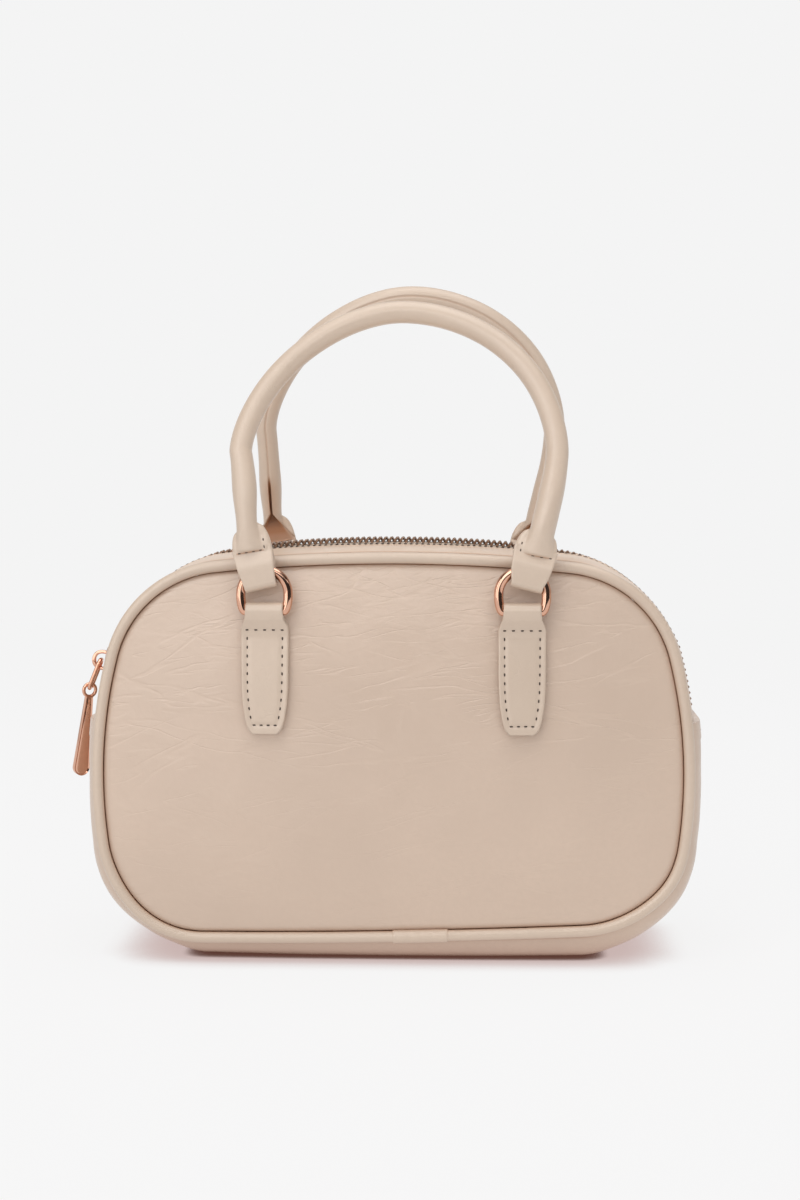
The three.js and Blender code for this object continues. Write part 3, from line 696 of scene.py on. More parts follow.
def add_node(tree, kind, inputs=None, **settings):
    """Add a node; each input is a constant or another node's output."""
    node = tree.nodes.new(kind)
    for key, value in settings.items():
        setattr(node, key, value)
    for key, value in (inputs or {}).items():
        if isinstance(value, bpy.types.NodeSocket):
            tree.links.new(value, node.inputs[key])
        else:
            node.inputs[key].default_value = value
    return node


def new_material(name, **sockets):
    """Empty node material with a principled shader whose constants are set."""
    material = bpy.data.materials.new(name)
    material.use_nodes = True
    tree = material.node_tree
    shader = tree.nodes["Principled BSDF"]
    for key, value in sockets.items():
        shader.inputs[key.replace("_", " ")].default_value = value
    return material, tree, shader


def math_node(tree, operation, *values):
    """Output of a math node."""
    return add_node(tree, "ShaderNodeMath", dict(enumerate(values)), operation=operation).outputs[0]


def remap(tree, value, low, high, to_low=0.0, to_high=1.0):
    """Output that rises smoothly from to_low to to_high as a value goes from low to high."""
    inputs = {"Value": value, "From Min": low, "From Max": high, "To Min": to_low, "To Max": to_high}
    node = add_node(tree, "ShaderNodeMapRange", inputs, interpolation_type="SMOOTHSTEP")
    return node.outputs["Result"]


def blend_colours(tree, share, first, second):
    """Output of a colour mix."""
    node = add_node(tree, "ShaderNodeMix", {0: share, 6: first, 7: second}, data_type="RGBA")
    return node.outputs[2]


def add_relief(tree, shader, height):
    """Bump of a shader from a height in millimetres."""
    relief = add_node(tree, "ShaderNodeBump", {"Strength": 1.0, "Distance": MM, "Height": height})
    tree.links.new(relief.outputs["Normal"], shader.inputs["Normal"])


def emission_material(name):
    """Empty material, its node tree and the socket for its surface."""
    material = bpy.data.materials.new(name)
    material.use_nodes = True
    tree = material.node_tree
    tree.nodes.clear()
    return material, tree, add_node(tree, "ShaderNodeOutputMaterial").inputs["Surface"]


def object_place(tree):
    """Object coordinates of the surface."""
    return add_node(tree, "ShaderNodeTexCoord").outputs["Object"]


def noise_value(tree, place, scale, detail=2.0, roughness=0.5, distortion=0.0):
    """Output of a noise texture."""
    inputs = {
        "Vector": place, "Scale": scale, "Detail": detail, "Roughness": roughness,
        "Distortion": distortion,
    }
    return add_node(tree, "ShaderNodeTexNoise", inputs).outputs["Fac"]


def scaled(colour, factor):
    """A colour made lighter or darker, with full alpha."""
    return tuple(min(1.0, channel * factor) for channel in colour[:3]) + (1.0,)


def two_tones(tree, share, base, tones):
    """Output of a mix of two tones of one colour."""
    return blend_colours(tree, share, *(scaled(base, tone) for tone in tones))


def turned_place(tree, place, degrees, stretch):
    """Coordinates turned in the plane of the panels and then stretched along the turned directions."""
    turn = {"Vector": place, "Rotation": (0.0, math.radians(degrees), 0.0)}
    turned = add_node(tree, "ShaderNodeMapping", turn).outputs["Vector"]
    inputs = {0: turned, 1: stretch}
    return add_node(tree, "ShaderNodeVectorMath", inputs, operation="MULTIPLY").outputs[0]


# Lines of a crease: how a seed shifts them, their distortion, the scale of their patches as a share of
# their own, and the noise at which a patch starts and is full
SEED_SHIFT = (1.0, 2.7, 5.1)
CREASE_DISTORTION = 0.35
PATCH_SCALE = 0.55
PATCH_FROM_TO = (0.5, 0.64)


def crease_lines(tree, place, degrees, stretch, scale, width, seed):
    """Output from 0 to 1: long thin lines that run along one direction, broken up into patches."""
    where = turned_place(tree, place, degrees, stretch)
    shift = tuple(seed * share for share in SEED_SHIFT)
    shifted = add_node(tree, "ShaderNodeVectorMath", {0: where, 1: shift}).outputs[0]
    value = noise_value(tree, shifted, scale, 1.5, 0.5, CREASE_DISTORTION)
    off = math_node(tree, "ABSOLUTE", math_node(tree, "SUBTRACT", value, 0.5))
    line = remap(tree, off, 0.0, width, 1.0, 0.0)
    patch = remap(tree, noise_value(tree, shifted, scale * PATCH_SCALE, 2.0), *PATCH_FROM_TO)
    return math_node(tree, "MULTIPLY", line, patch)


# Creases: direction in degrees, stretch along and across it, scale, width of a line and seed
CREASES = [
    (20.0, (0.24, 1.0, 1.5), 62.0, 0.036, 0.3),
    (4.0, (0.24, 1.0, 1.7), 84.0, 0.042, 1.1),
    (-13.0, (0.26, 1.0, 1.6), 72.0, 0.038, 2.3),
    (10.0, (0.28, 1.0, 2.0), 125.0, 0.05, 3.7),
]

# Heights in metres between which the creases grow clear, and the skin crumpled
CREASED_FROM_TO = (0.06, 0.125)
CREASES_LOW = 0.3
CRUMPLED_FROM_TO = (0.115, 0.165)

# Features in a metre of the skin's warp, folds and crumpling, reach of the warp in metres, and the
# direction and stretch of the crumpling
WARP_SCALE = 30.0
WARP_REACH = 0.006
FOLD_SCALE = 44.0
CRUMPLE_SCALE = 190.0
CRUMPLE_DIRECTION = (10.0, (0.6, 1.0, 1.3))


def leather_creases(tree, place):
    """Two outputs: broad folds in millimetres, and fine creases from 0 to 1 gathered in patches."""
    settings = bpy.context.scene.handbag_leather
    warp = add_node(tree, "ShaderNodeTexNoise", {"Vector": place, "Scale": WARP_SCALE, "Detail": 2.0})
    push = {0: warp.outputs["Color"], 1: (WARP_REACH,) * 3, 2: place}
    warped = add_node(tree, "ShaderNodeVectorMath", push, operation="MULTIPLY_ADD").outputs[0]
    lines = None
    for row in CREASES:
        line = crease_lines(tree, warped, *row)
        lines = line if lines is None else math_node(tree, "MAXIMUM", lines, line)
    folds = noise_value(tree, warped, FOLD_SCALE, 3.0, 0.5, 0.3)
    folds = math_node(tree, "MULTIPLY", folds, settings.fold_depth / MM)
    height = add_node(tree, "ShaderNodeSeparateXYZ", {0: place}).outputs["Z"]
    lines = math_node(tree, "MULTIPLY", lines, remap(tree, height, *CREASED_FROM_TO, CREASES_LOW, 1.0))
    crumpled = remap(tree, height, *CRUMPLED_FROM_TO)
    drawn = turned_place(tree, warped, *CRUMPLE_DIRECTION)
    crumple = noise_value(tree, drawn, CRUMPLE_SCALE, 3.0, 0.6, 0.8)
    deep = math_node(tree, "MULTIPLY", crumpled, settings.crumple_depth / MM)
    crumple = math_node(tree, "MULTIPLY", crumple, deep)
    return math_node(tree, "ADD", folds, crumple), lines


# Kinds of leather: tint of the main colour, specular level and weight of the coat; the strip's tint is
# painted light that makes it lighter than the same leather elsewhere
LEATHERS = {
    "bag": ((1.0, 1.0, 1.0), 0.5, 0.28), "strap": ((1.0, 1.03, 1.03), 0.5, 0.28),
    "strip": ((1.16, 1.16, 1.14), 0.2, 0.0),
}


# Strap and strip leather: scale and depth of its soft folds, its lines, and how clear they are
SMOOTH_FOLD_SCALE = 130.0
SMOOTH_FOLD_DEPTH = 0.14
SMOOTH_LINES = (0.0, (1.0, 1.0, 1.0), 170.0, 0.03, 6.1)
SMOOTH_LINES_SHARE = 0.35

# All leather: clouds, speckles and creases with painted highlights, as shares of the main colour, then
# gloss and pores
CLOUD_SCALE = 13.0
CLOUD_TONES = (0.965, 1.03)
SPECKLE_SCALE = 420.0
SPECKLE_SHARE = 0.35
SPECKLE_TONE = 0.95
CREASE_HIGHLIGHT_SHARE = 0.2
CREASE_HIGHLIGHT_TONE = 1.1
GLOSS_SCALE = 90.0
GLOSS_SPREAD = (-0.05, 0.07)
SEAM_MATT = 0.3
COAT_ROUGHNESS = 0.2
PORE_SCALE = 1500.0
PORE_DEPTH = 0.022


def leather_material(kind):
    """Semi-gloss leather, with painted shade in its seams and slits and painted highlights on its creases;
    that of the bag is creased, the rest nearly smooth.
    """
    name = kind + "_leather"
    found = bpy.data.materials.get(name)
    if found:
        return found
    settings = bpy.context.scene.handbag_leather
    tint, specular, coat = LEATHERS[kind]
    base = tuple(channel * factor for channel, factor in zip(settings.colour, tint))
    material, tree, shader = new_material(
        name, Specular_IOR_Level=specular, Coat_Weight=coat, Coat_Roughness=COAT_ROUGHNESS,
    )
    place = object_place(tree)
    if kind == "bag":
        folds, lines = leather_creases(tree, place)
    else:
        folds = noise_value(tree, place, SMOOTH_FOLD_SCALE, 3.0)
        folds = math_node(tree, "MULTIPLY", folds, SMOOTH_FOLD_DEPTH)
        lines = crease_lines(tree, place, *SMOOTH_LINES)
        lines = math_node(tree, "MULTIPLY", lines, SMOOTH_LINES_SHARE)
    cloud = remap(tree, noise_value(tree, place, CLOUD_SCALE, 3.0), 0.3, 0.7)
    mottle = remap(tree, noise_value(tree, place, SPECKLE_SCALE, 4.0, 0.6), 0.3, 0.7)
    colour = two_tones(tree, cloud, base, CLOUD_TONES)
    speckle = math_node(tree, "MULTIPLY", mottle, SPECKLE_SHARE)
    colour = blend_colours(tree, speckle, colour, scaled(base, SPECKLE_TONE))
    # Painted highlight: the crease lines are made paler than the leather
    pale = math_node(tree, "MULTIPLY", lines, CREASE_HIGHLIGHT_SHARE)
    colour = blend_colours(tree, pale, colour, scaled(base, CREASE_HIGHLIGHT_TONE))
    # Painted shade: browner in seams, crevices and slits, near black in the deepest hollows
    seam_shade = add_node(tree, "ShaderNodeAttribute", attribute_name="seam_shade").outputs["Fac"]
    colour = blend_colours(tree, seam_shade, colour, scaled(settings.painted_shade_colour, 1.0))
    deepest_shade = remap(tree, seam_shade, 1.0, 2.0)
    colour = blend_colours(tree, deepest_shade, colour, scaled(settings.painted_deep_shade_colour, 1.0))
    tree.links.new(colour, shader.inputs["Base Color"])
    polish = noise_value(tree, place, GLOSS_SCALE, 3.0)
    gloss = remap(tree, polish, 0.3, 0.7, *(settings.roughness + change for change in GLOSS_SPREAD))
    # Rougher where the painted shade lies
    sewn = math_node(tree, "MINIMUM", seam_shade, 1.0)
    gloss = math_node(tree, "MULTIPLY_ADD", sewn, SEAM_MATT, gloss)
    tree.links.new(gloss, shader.inputs["Roughness"])
    pores = noise_value(tree, place, PORE_SCALE, 2.0, 0.6)
    height = math_node(tree, "MULTIPLY_ADD", lines, -settings.crease_depth / MM, folds)
    height = math_node(tree, "MULTIPLY_ADD", pores, PORE_DEPTH, height)
    add_relief(tree, shader, height)
    return material


# Metals: name, roughness, share of tarnish and depth of the scratches in millimetres
METALS = {
    "rose_gold": ("rose_gold_polish", 0.07, 0.08, 0.0002), "bronze": ("zip_bronze_aged", 0.32, 0.3, 0.012),
}
METAL_PATCHES = (260.0, 4.0, 0.6)
METAL_WEAR_SCALE = 900.0
METAL_WORN = 1.35
METAL_SCRATCH_SCALE = 2600.0


def metal_material(kind):
    """Metal with fine wear: polished rose gold, or the aged bronze of the zip teeth."""
    name, roughness, tarnish, scratch = METALS[kind]
    colour = tuple(getattr(bpy.context.scene.handbag_metal, kind))
    found = bpy.data.materials.get(name)
    if found:
        return found
    material, tree, shader = new_material(name, Metallic=1.0)
    place = object_place(tree)
    patches = remap(tree, noise_value(tree, place, *METAL_PATCHES), 0.35, 0.7)
    tone = two_tones(tree, patches, colour, (1.0, 1.0 - tarnish))
    tree.links.new(tone, shader.inputs["Base Color"])
    worn = noise_value(tree, place, METAL_WEAR_SCALE, 3.0)
    wear = remap(tree, worn, 0.3, 0.75, roughness, METAL_WORN * roughness)
    tree.links.new(wear, shader.inputs["Roughness"])
    fine = noise_value(tree, place, METAL_SCRATCH_SCALE, 2.0)
    add_relief(tree, shader, math_node(tree, "MULTIPLY", fine, scratch))
    return material


# Weave of the tape and fibres of the thread: scales, tones of the colour and depths in millimetres
WEAVE_SCALES = {"X": 640.0, "Y": 520.0}
WEAVE_TONES = (0.72, 1.08)
WEAVE_DEPTH = 0.12
FIBRE_SCALE = 3200.0
FIBRE_TONES = (0.7, 1.4)
FIBRE_DEPTH = 0.06


def tape_material():
    """Woven zip tape, from its own UV map."""
    settings = bpy.context.scene.handbag_sewing
    base = tuple(settings.tape_colour)
    material, tree, shader = new_material("zip_tape_weave", Roughness=0.9, Specular_IOR_Level=0.25)
    place = add_node(tree, "ShaderNodeTexCoord").outputs["UV"]
    warp, weft = (
        add_node(tree, "ShaderNodeTexWave", {"Vector": place, "Scale": scale}, bands_direction=axis)
        .outputs["Fac"] for axis, scale in WEAVE_SCALES.items()
    )
    weave = math_node(tree, "MULTIPLY", warp, weft)
    tone = two_tones(tree, weave, base, WEAVE_TONES)
    tree.links.new(tone, shader.inputs["Base Color"])
    add_relief(tree, shader, math_node(tree, "MULTIPLY", weave, WEAVE_DEPTH))
    return material


def thread_material():
    """Dark twisted sewing thread."""
    found = bpy.data.materials.get("sewing_thread")
    if found:
        return found
    settings = bpy.context.scene.handbag_sewing
    base = tuple(settings.thread_colour)
    material, tree, shader = new_material("sewing_thread", Roughness=0.75, Specular_IOR_Level=0.3)
    fibres = noise_value(tree, object_place(tree), FIBRE_SCALE, 3.0)
    tone = two_tones(tree, fibres, base, FIBRE_TONES)
    tree.links.new(tone, shader.inputs["Base Color"])
    add_relief(tree, shader, math_node(tree, "MULTIPLY", fibres, FIBRE_DEPTH))
    return material


def repeat_tree():
    """Node tree that sets copies of a shape on points, turned to the points' own directions."""
    found = bpy.data.node_groups.get("repeat_on_path")
    if found:
        return found
    tree = bpy.data.node_groups.new("repeat_on_path", "GeometryNodeTree")
    kinds = [
        ("Geometry", "NodeSocketGeometry"), ("Shape", "NodeSocketObject"), ("Length", "NodeSocketFloat"),
        ("Width", "NodeSocketFloat"), ("Height", "NodeSocketFloat"), ("Finish", "NodeSocketMaterial"),
    ]
    for name, kind in kinds:
        tree.interface.new_socket(name=name, in_out="INPUT", socket_type=kind)
    tree.interface.new_socket(name="Geometry", in_out="OUTPUT", socket_type="NodeSocketGeometry")
    source = tree.nodes.new("NodeGroupInput").outputs
    along, outward = (
        add_node(tree, "GeometryNodeInputNamedAttribute", {"Name": label}, data_type="FLOAT_VECTOR")
        .outputs["Attribute"] for label in ("along", "outward")
    )
    first = add_node(tree, "FunctionNodeAlignRotationToVector", {"Vector": along}, axis="X")
    turned = {"Rotation": first.outputs["Rotation"], "Vector": outward}
    second = add_node(tree, "FunctionNodeAlignRotationToVector", turned, axis="Z", pivot_axis="X")
    sizes = {"X": source["Length"], "Y": source["Width"], "Z": source["Height"]}
    size = add_node(tree, "ShaderNodeCombineXYZ", sizes)
    shape = add_node(tree, "GeometryNodeObjectInfo", {"Object": source["Shape"], "As Instance": True})
    copies = add_node(tree, "GeometryNodeInstanceOnPoints", {
        "Points": source["Geometry"], "Instance": shape.outputs["Geometry"],
        "Rotation": second.outputs["Rotation"], "Scale": size.outputs["Vector"],
    })
    real = add_node(tree, "GeometryNodeRealizeInstances", {"Geometry": copies.outputs["Instances"]})
    finish = add_node(tree, "GeometryNodeSetMaterial", {
        "Geometry": real.outputs["Geometry"], "Material": source["Finish"],
    })
    target = tree.nodes.new("NodeGroupOutput")
    tree.links.new(finish.outputs["Geometry"], target.inputs["Geometry"])
    return tree


def repeated(name, shape_mesh, places, along, outward, size, material):
    """Plain mesh of copies of a small shape, set at places in millimetres and scaled by a size."""
    mesh = bpy.data.meshes.new(name)
    mesh.from_pydata(np.asarray(places) * MM, [], [])
    for label, values in (("along", along), ("outward", outward)):
        layer = mesh.attributes.new(label, "FLOAT_VECTOR", "POINT")
        layer.data.foreach_set("vector", np.asarray(values, np.float32).reshape(-1))
    shape = add_object(name + "_shape", shape_mesh)
    holder = add_object(name + "_points", mesh)
    tree = repeat_tree()
    modifier = holder.modifiers.new("Repeat", "NODES")
    modifier.node_group = tree
    values = {"Shape": shape, "Length": size[0], "Width": size[1], "Height": size[2], "Finish": material}
    for item in tree.interface.items_tree:
        if item.in_out == "INPUT" and item.name in values:
            modifier[item.identifier] = values[item.name]
    depsgraph = bpy.context.evaluated_depsgraph_get()
    plain = bpy.data.meshes.new_from_object(holder.evaluated_get(depsgraph))
    plain.name = name
    holder.modifiers.remove(modifier)
    bpy.data.objects.remove(holder)
    bpy.data.objects.remove(shape)
    return plain


def panel_mesh(name, side):
    """Soft domed panel, rolled in at its seam, with a shallow sag and waves."""
    lengths = np.linspace(-SEAM_HALF, SEAM_HALF, PANEL_AROUND, endpoint=False)
    seam = seam_at(lengths)
    reach = np.hypot(seam.x, seam.z - PANEL_CENTRE_Z)

    def ring(share):
        z = PANEL_CENTRE_Z + share * (seam.z - PANEL_CENTRE_Z)
        return np.stack([share * seam.x, side * panel_depth(z, share), z], axis=1)

    rings = []
    shades = []
    for share in np.linspace(0.1, 1.0, PANEL_INNER_RINGS):
        points = ring(share)
        points[:, 1] -= side * (WALL + PANEL_SAG)
        rings.append(points)
        shades.append(np.zeros(PANEL_AROUND))
    spread = np.linspace(0.0, 1.0, PANEL_OUTER_RINGS) ** PANEL_SPACING_POWER
    for share in 1.0 - spread * (1.0 - PANEL_LEAST_SHARE):
        points = ring(share)
        inwards = (1.0 - share) * reach
        calm = smoothstep(inwards, 0.0, PANEL_CALM_EDGE)
        sag = PANEL_SAG * hollows(points, "panel sag") * calm
        sag += PANEL_WAVE * hollows(points, "panel wave") * calm
        roll = PANEL_EDGE_DIP * np.clip(1.0 - inwards / PANEL_EDGE_ROLL, 0.0, 1.0) ** 2
        points[:, 1] -= side * (sag + roll)
        rings.append(points)
        # Painted shade darkens the panel along its seam
        shades.append(PAINTED_SEAM_SHADE * (1.0 - smoothstep(inwards, 0.3 * PAINTED_SEAM_SHADE_WIDTH, PAINTED_SEAM_SHADE_WIDTH)))
    poles = [rings[0].mean(0), rings[-1].mean(0)]
    return lofted(name, rings, poles=poles, shade=shades)


def piping_mesh(name, side):
    """Round leather bead along the seam; the front one is wrapped where its ends meet at the bottom."""
    lengths = np.linspace(-SEAM_HALF, SEAM_HALF, PIPING_STATIONS, endpoint=False)
    if side == SIDES["front"]:
        for x in (WRAP_FROM_X, WRAP_TO_X):
            where = SEAM_HALF - x
            lengths = np.append(lengths, where + np.linspace(-WRAP_STEP, WRAP_STEP, WRAP_STATIONS))
        lengths = np.unique(np.round(lengths, 4))
    seam = seam_columns(lengths)
    from_foot = SEAM_HALF - lengths[:, None]
    wrapped = smoothstep(from_foot, WRAP_FROM_X - WRAP_STEP, WRAP_FROM_X + WRAP_STEP)
    wrapped *= 1.0 - smoothstep(from_foot, WRAP_TO_X - WRAP_STEP, WRAP_TO_X + WRAP_STEP)
    if side != SIDES["front"]:
        wrapped *= 0.0
    extra = bpy.context.scene.handbag_leather.wrap_thickness / MM
    depth = side * (half_depth(seam.z) - PIPING_SETBACK)
    wave = PIPING_WAVE * ripple(lifted(seam, depth, 0.0), "piping")
    radius = PIPING_RADIUS + extra * wrapped + wave
    turn = full_turn(PIPING_AROUND)
    rings = lifted(seam, depth + radius * np.sin(turn), PIPING_OFFSET + radius * np.cos(turn))
    rings[:, :, 2] = np.maximum(rings[:, :, 2], PIPING_LOWEST)
    # Painted shade on the piping's side towards the panel
    shade = sum(dark * smoothstep(-np.cos(turn), low, high) for dark, low, high in PIPING_PAINTED_SHADES)
    shades = np.broadcast_to(shade, rings.shape[:2])
    return lofted(name, rings, closed=True, shade=shades)


def band_rings(seam, ys, outer, thickness):
    """Rings of a band along the seam from its depths and outer offsets, one row for each station."""
    rings = lifted(seam, there_and_back(ys, ys), there_and_back(outer, outer - thickness))
    least = there_and_back(np.zeros(outer.shape), np.full(outer.shape, WALL))
    rings[:, :, 2] = np.maximum(rings[:, :, 2], least)
    return rings


def edge_spacing(count):
    """Shares from -1 to 1 that lie closer together towards both ends."""
    return np.sin(np.linspace(-math.pi / 2, math.pi / 2, count))


def hem_share(seam, y):
    """Share of a hem's height across the gusset, from 1 in the middle to 0 at the piping."""
    return 1.0 - (np.abs(y) / edge_depth(seam)) ** 4


def gusset_mesh(name):
    """Leather round the sides and bottom, softly creased, with a folded hem at each end of the zip."""
    lengths = np.linspace(ZIP_END + GAP, 2 * SEAM_HALF - ZIP_END - GAP, GUSSET_STATIONS)
    first = lengths[0] + np.array(HEM_STATIONS)
    lengths = np.unique(np.concatenate([lengths, first, lengths[-1] + lengths[0] - first]))
    seam = seam_columns(lengths)
    ys = edge_spacing(GUSSET_ACROSS)[None, :] * edge_depth(seam)
    outer = gusset_offset(seam, ys)
    from_end = np.minimum(lengths - lengths[0], lengths[-1] - lengths)[:, None]
    hem = HEM_PROUD * (1.0 - smoothstep(from_end, HEM_LENGTH - HEM_STEP, HEM_LENGTH + HEM_STEP))
    hem -= HEM_EDGE_DIP * np.clip(1.0 - from_end / HEM_EDGE, 0.0, 1.0) ** 2
    middle = hem_share(seam, ys)
    points = lifted(seam, ys, outer)
    wave = GUSSET_WAVE * hollows(points, "gusset wave") + GUSSET_RIPPLE * hollows(points, "gusset ripple")
    outer = outer + middle * (hem - wave * smoothstep(from_end, HEM_LENGTH, HEM_LENGTH + HEM_CALM))
    turned_in = HEM_TURN * middle * (1.0 - smoothstep(from_end, *HEM_TURN_FROM_TO))
    rings = band_rings(seam, ys, outer, WALL + turned_in)
    # Painted shade along the gusset's edges next to the piping
    dark = smoothstep(np.abs(ys) / edge_depth(seam), *GUSSET_SHADE_FROM_TO)
    return lofted(name, rings, shade=there_and_back(dark, dark))


def strip_surface(seam, y):
    """Outer offset of a zip strip, puffed where its inner edge is folded under."""
    offset = strip_offset(seam, y)
    inwards = np.abs(y) - SLOT_HALF
    folded = 1.0 - smoothstep(inwards, STRIP_FOLD - STRIP_FOLD_SOFT, STRIP_FOLD + STRIP_FOLD_SOFT)
    edge = np.clip(1.0 - inwards / STRIP_EDGE_ROLL, 0.0, 1.0) ** 2
    return offset + STRIP_PUFF * folded - STRIP_EDGE_DIP * edge


def strip_mesh(name, side):
    """Leather strip beside the zip, its inner edge folded under."""
    seam = seam_columns(np.linspace(-ZIP_END, ZIP_END, STRIP_STATIONS))
    share = 0.5 + 0.5 * edge_spacing(STRIP_ACROSS)[None, :]
    ys = side * mix(edge_depth(seam), SLOT_HALF, share)
    outer = strip_surface(seam, ys)
    wave = STRIP_WAVE * hollows(lifted(seam, ys, outer), "strip")
    rings = band_rings(seam, ys, outer - wave * (share * (1.0 - share) * 4.0), STRIP_THICK)
    # Painted shade line where the strip shows just above the piping
    beyond = share - mix(STRIP_SHADE_FLANK, STRIP_SHADE_TOP, seam.nz)
    dark = STRIP_SHADE * smoothstep(beyond, *STRIP_SHADE_RISE) * (1.0 - smoothstep(beyond, *STRIP_SHADE_FALL))
    return lofted(name, rings, shade=there_and_back(dark, dark))


def teeth_sink(x):
    """How far the teeth lie lower where the zip is pulled tight, at the shoulders and right flank."""
    return sum(depth * bump_at(x, centre, width) for centre, width, depth in TEETH_SINKS)


def tape_mesh(name, side):
    """Woven tape under a strip; beyond the slider and at the right end the two tapes come together."""
    lengths = np.linspace(-ZIP_END, ZIP_END, STRIP_STATIONS)
    seam = seam_columns(lengths)
    closed = 1.0 - smoothstep(lengths, -SLIDER_ALONG - TAPE_MEETING, -SLIDER_ALONG + TAPE_MEETING)
    closed = closed + smoothstep(lengths, ZIP_END - TAPE_END_FROM, ZIP_END - TAPE_END_TO)
    inner_edge = mix(TAPE_INNER, TAPE_CLOSED, closed)[:, None]
    ys = side * mix(TAPE_OUTER, inner_edge, np.linspace(0.0, 1.0, TAPE_ACROSS)[None, :])
    outer = strip_offset(seam, ys) - WALL - GAP
    sunk = TAPE_DRAWN_IN * shoulder_pull(seam) + teeth_sink(seam.x)
    rise = (TAPE_RISE - sunk) * (1.0 - closed[:, None])
    outer = outer + rise * (1.0 - smoothstep(np.abs(ys), inner_edge, TAPE_RISE_END))
    rings = band_rings(seam, ys, outer, TAPE_THICK)
    return lofted(name, rings, uv=True)


def tooth_shape(name):
    """One zip tooth of unit size: a bar that grips the tape and narrows to its tip."""
    outline = [
        (-0.5, -0.42), (-0.18, -0.5), (0.12, -0.42), (0.3, -0.5), (0.5, -0.26),
        (0.5, 0.26), (0.3, 0.5), (0.12, 0.42), (-0.18, 0.5), (-0.5, 0.42),
    ]
    levels = [(-0.5, 0.95, 0.7), (-0.35, 1.0, 1.0), (0.35, 1.0, 1.0), (0.5, 0.92, 0.7)]
    return stacked(name, [[(x * deep, y * wide, z) for x, y in outline] for z, deep, wide in levels])


def stitch_shape(name):
    """One stitch of unit size: a short round-ended thread."""
    shape = bmesh.new()
    bmesh.ops.create_uvsphere(shape, u_segments=8, v_segments=6, radius=0.5)
    turn = Matrix.Rotation(math.pi / 2, 4, "Y")
    bmesh.ops.transform(shape, matrix=turn, verts=shape.verts)
    for vert in shape.verts:
        vert.co.x = math.copysign(0.5 * (2.0 * abs(vert.co.x)) ** STITCH_TAPER, vert.co.x)
    return mesh_of(shape, name)


def teeth_mesh(name):
    """Two rows of interlocking teeth, leaning opposite ways, from the slider to the zip's right end."""
    settings = bpy.context.scene.handbag_sewing
    pitch = settings.tooth_pitch / MM
    start = -SLIDER_ALONG + SLIDER_LENGTH / 2 + TEETH_FROM_SLIDER
    count = int((ZIP_END - TEETH_FROM_END - start) / (pitch / 2)) + 1
    lengths = start + np.arange(count) * pitch / 2
    row = np.where(np.arange(count) % 2 == 0, -1.0, 1.0)
    seam = seam_at(lengths)
    reach = TOOTH_REACH + TOOTH_CROSSING
    sunk = TEETH_DRAWN_IN * shoulder_pull(seam) + teeth_sink(seam.x)
    lift = strip_offset(seam, 0.0) + TEETH_PROUD - sunk - TOOTH_HEIGHT / 2
    places = lifted(seam, row * (TOOTH_REACH - reach / 2), lift)
    towards = np.outer(-row, (0.0, 1.0, 0.0))
    lean = -row * TOOTH_LEAN
    outward = upright(seam.nx + lean * seam.nz, seam.nz - lean * seam.nx)
    size = (reach * MM, TOOTH_WIDTH * MM, TOOTH_HEIGHT * math.hypot(1.0, TOOTH_LEAN) * MM)
    finish = metal_material("bronze")
    return repeated(name, tooth_shape(name + "_one"), places, towards, outward, size, finish)


def slider_axes():
    """Matrix of the slider: x out of the bag, y across the zip, z up along it."""
    seam = seam_at(np.array([-SLIDER_ALONG]))
    out = Vector((seam.nx[0], 0.0, seam.nz[0]))
    up = Vector((seam.nz[0], 0.0, -seam.nx[0]))
    across = up.cross(out)
    place = Matrix((out, across, up)).transposed().to_4x4()
    place.translation = Vector((seam.x[0], 0.0, seam.z[0]))
    return place


PIVOT = slider_axes() @ Vector((SLIDER_TOP + BRIDGE_OPEN_HEIGHT / 2, 0.0, 0.0))


def prism(outline, low, high, axes):
    """Mesh of a flat outline drawn out between two levels, in the plane and along the depth of axes."""
    rows = [[axes @ Vector((u, v, level)) for u, v in outline] for level in (low, high)]
    return stacked("prism", rows)


def rounded_outline(half_u, half_v, corner, steps=8):
    """Rectangle with round corners."""
    outline = []
    for k, (su, sv) in enumerate([(1, 1), (-1, 1), (-1, -1), (1, -1)]):
        for turn in np.linspace(0.0, math.pi / 2, steps + 1) + k * math.pi / 2:
            outline.append((
                su * (half_u - corner) + corner * math.cos(turn),
                sv * (half_v - corner) + corner * math.sin(turn),
            ))
    return outline


def joined(name, meshes, bevel, segments=3):
    """One closed mesh of several that overlap, with its edges rounded."""
    objects = [add_object(name + "_part", mesh) for mesh in meshes]
    for other in objects[1:]:
        union = objects[0].modifiers.new("Join", "BOOLEAN")
        union.operation = "UNION"
        union.solver = "EXACT"
        union.object = other
    rounding = objects[0].modifiers.new("Round", "BEVEL")
    rounding.width = bevel
    rounding.segments = segments
    rounding.limit_method = "ANGLE"
    rounding.angle_limit = math.radians(40)
    depsgraph = bpy.context.evaluated_depsgraph_get()
    result = bpy.data.meshes.new_from_object(objects[0].evaluated_get(depsgraph))
    result.name = name
    for obj in objects:
        bpy.data.objects.remove(obj)
    result.transform(Matrix.Scale(MM, 4))
    return result


def bridge_side(height, half):
    """Outline of one side of the bridge: a foot, an arch and the other foot."""
    steps = np.linspace(0.0, math.pi, BRIDGE_STEPS)
    arch = [(height * math.sin(turn) ** BRIDGE_POWER, half * math.cos(turn)) for turn in steps]
    return [(-BRIDGE_SUNK, half)] + arch + [(-BRIDGE_SUNK, -half)]


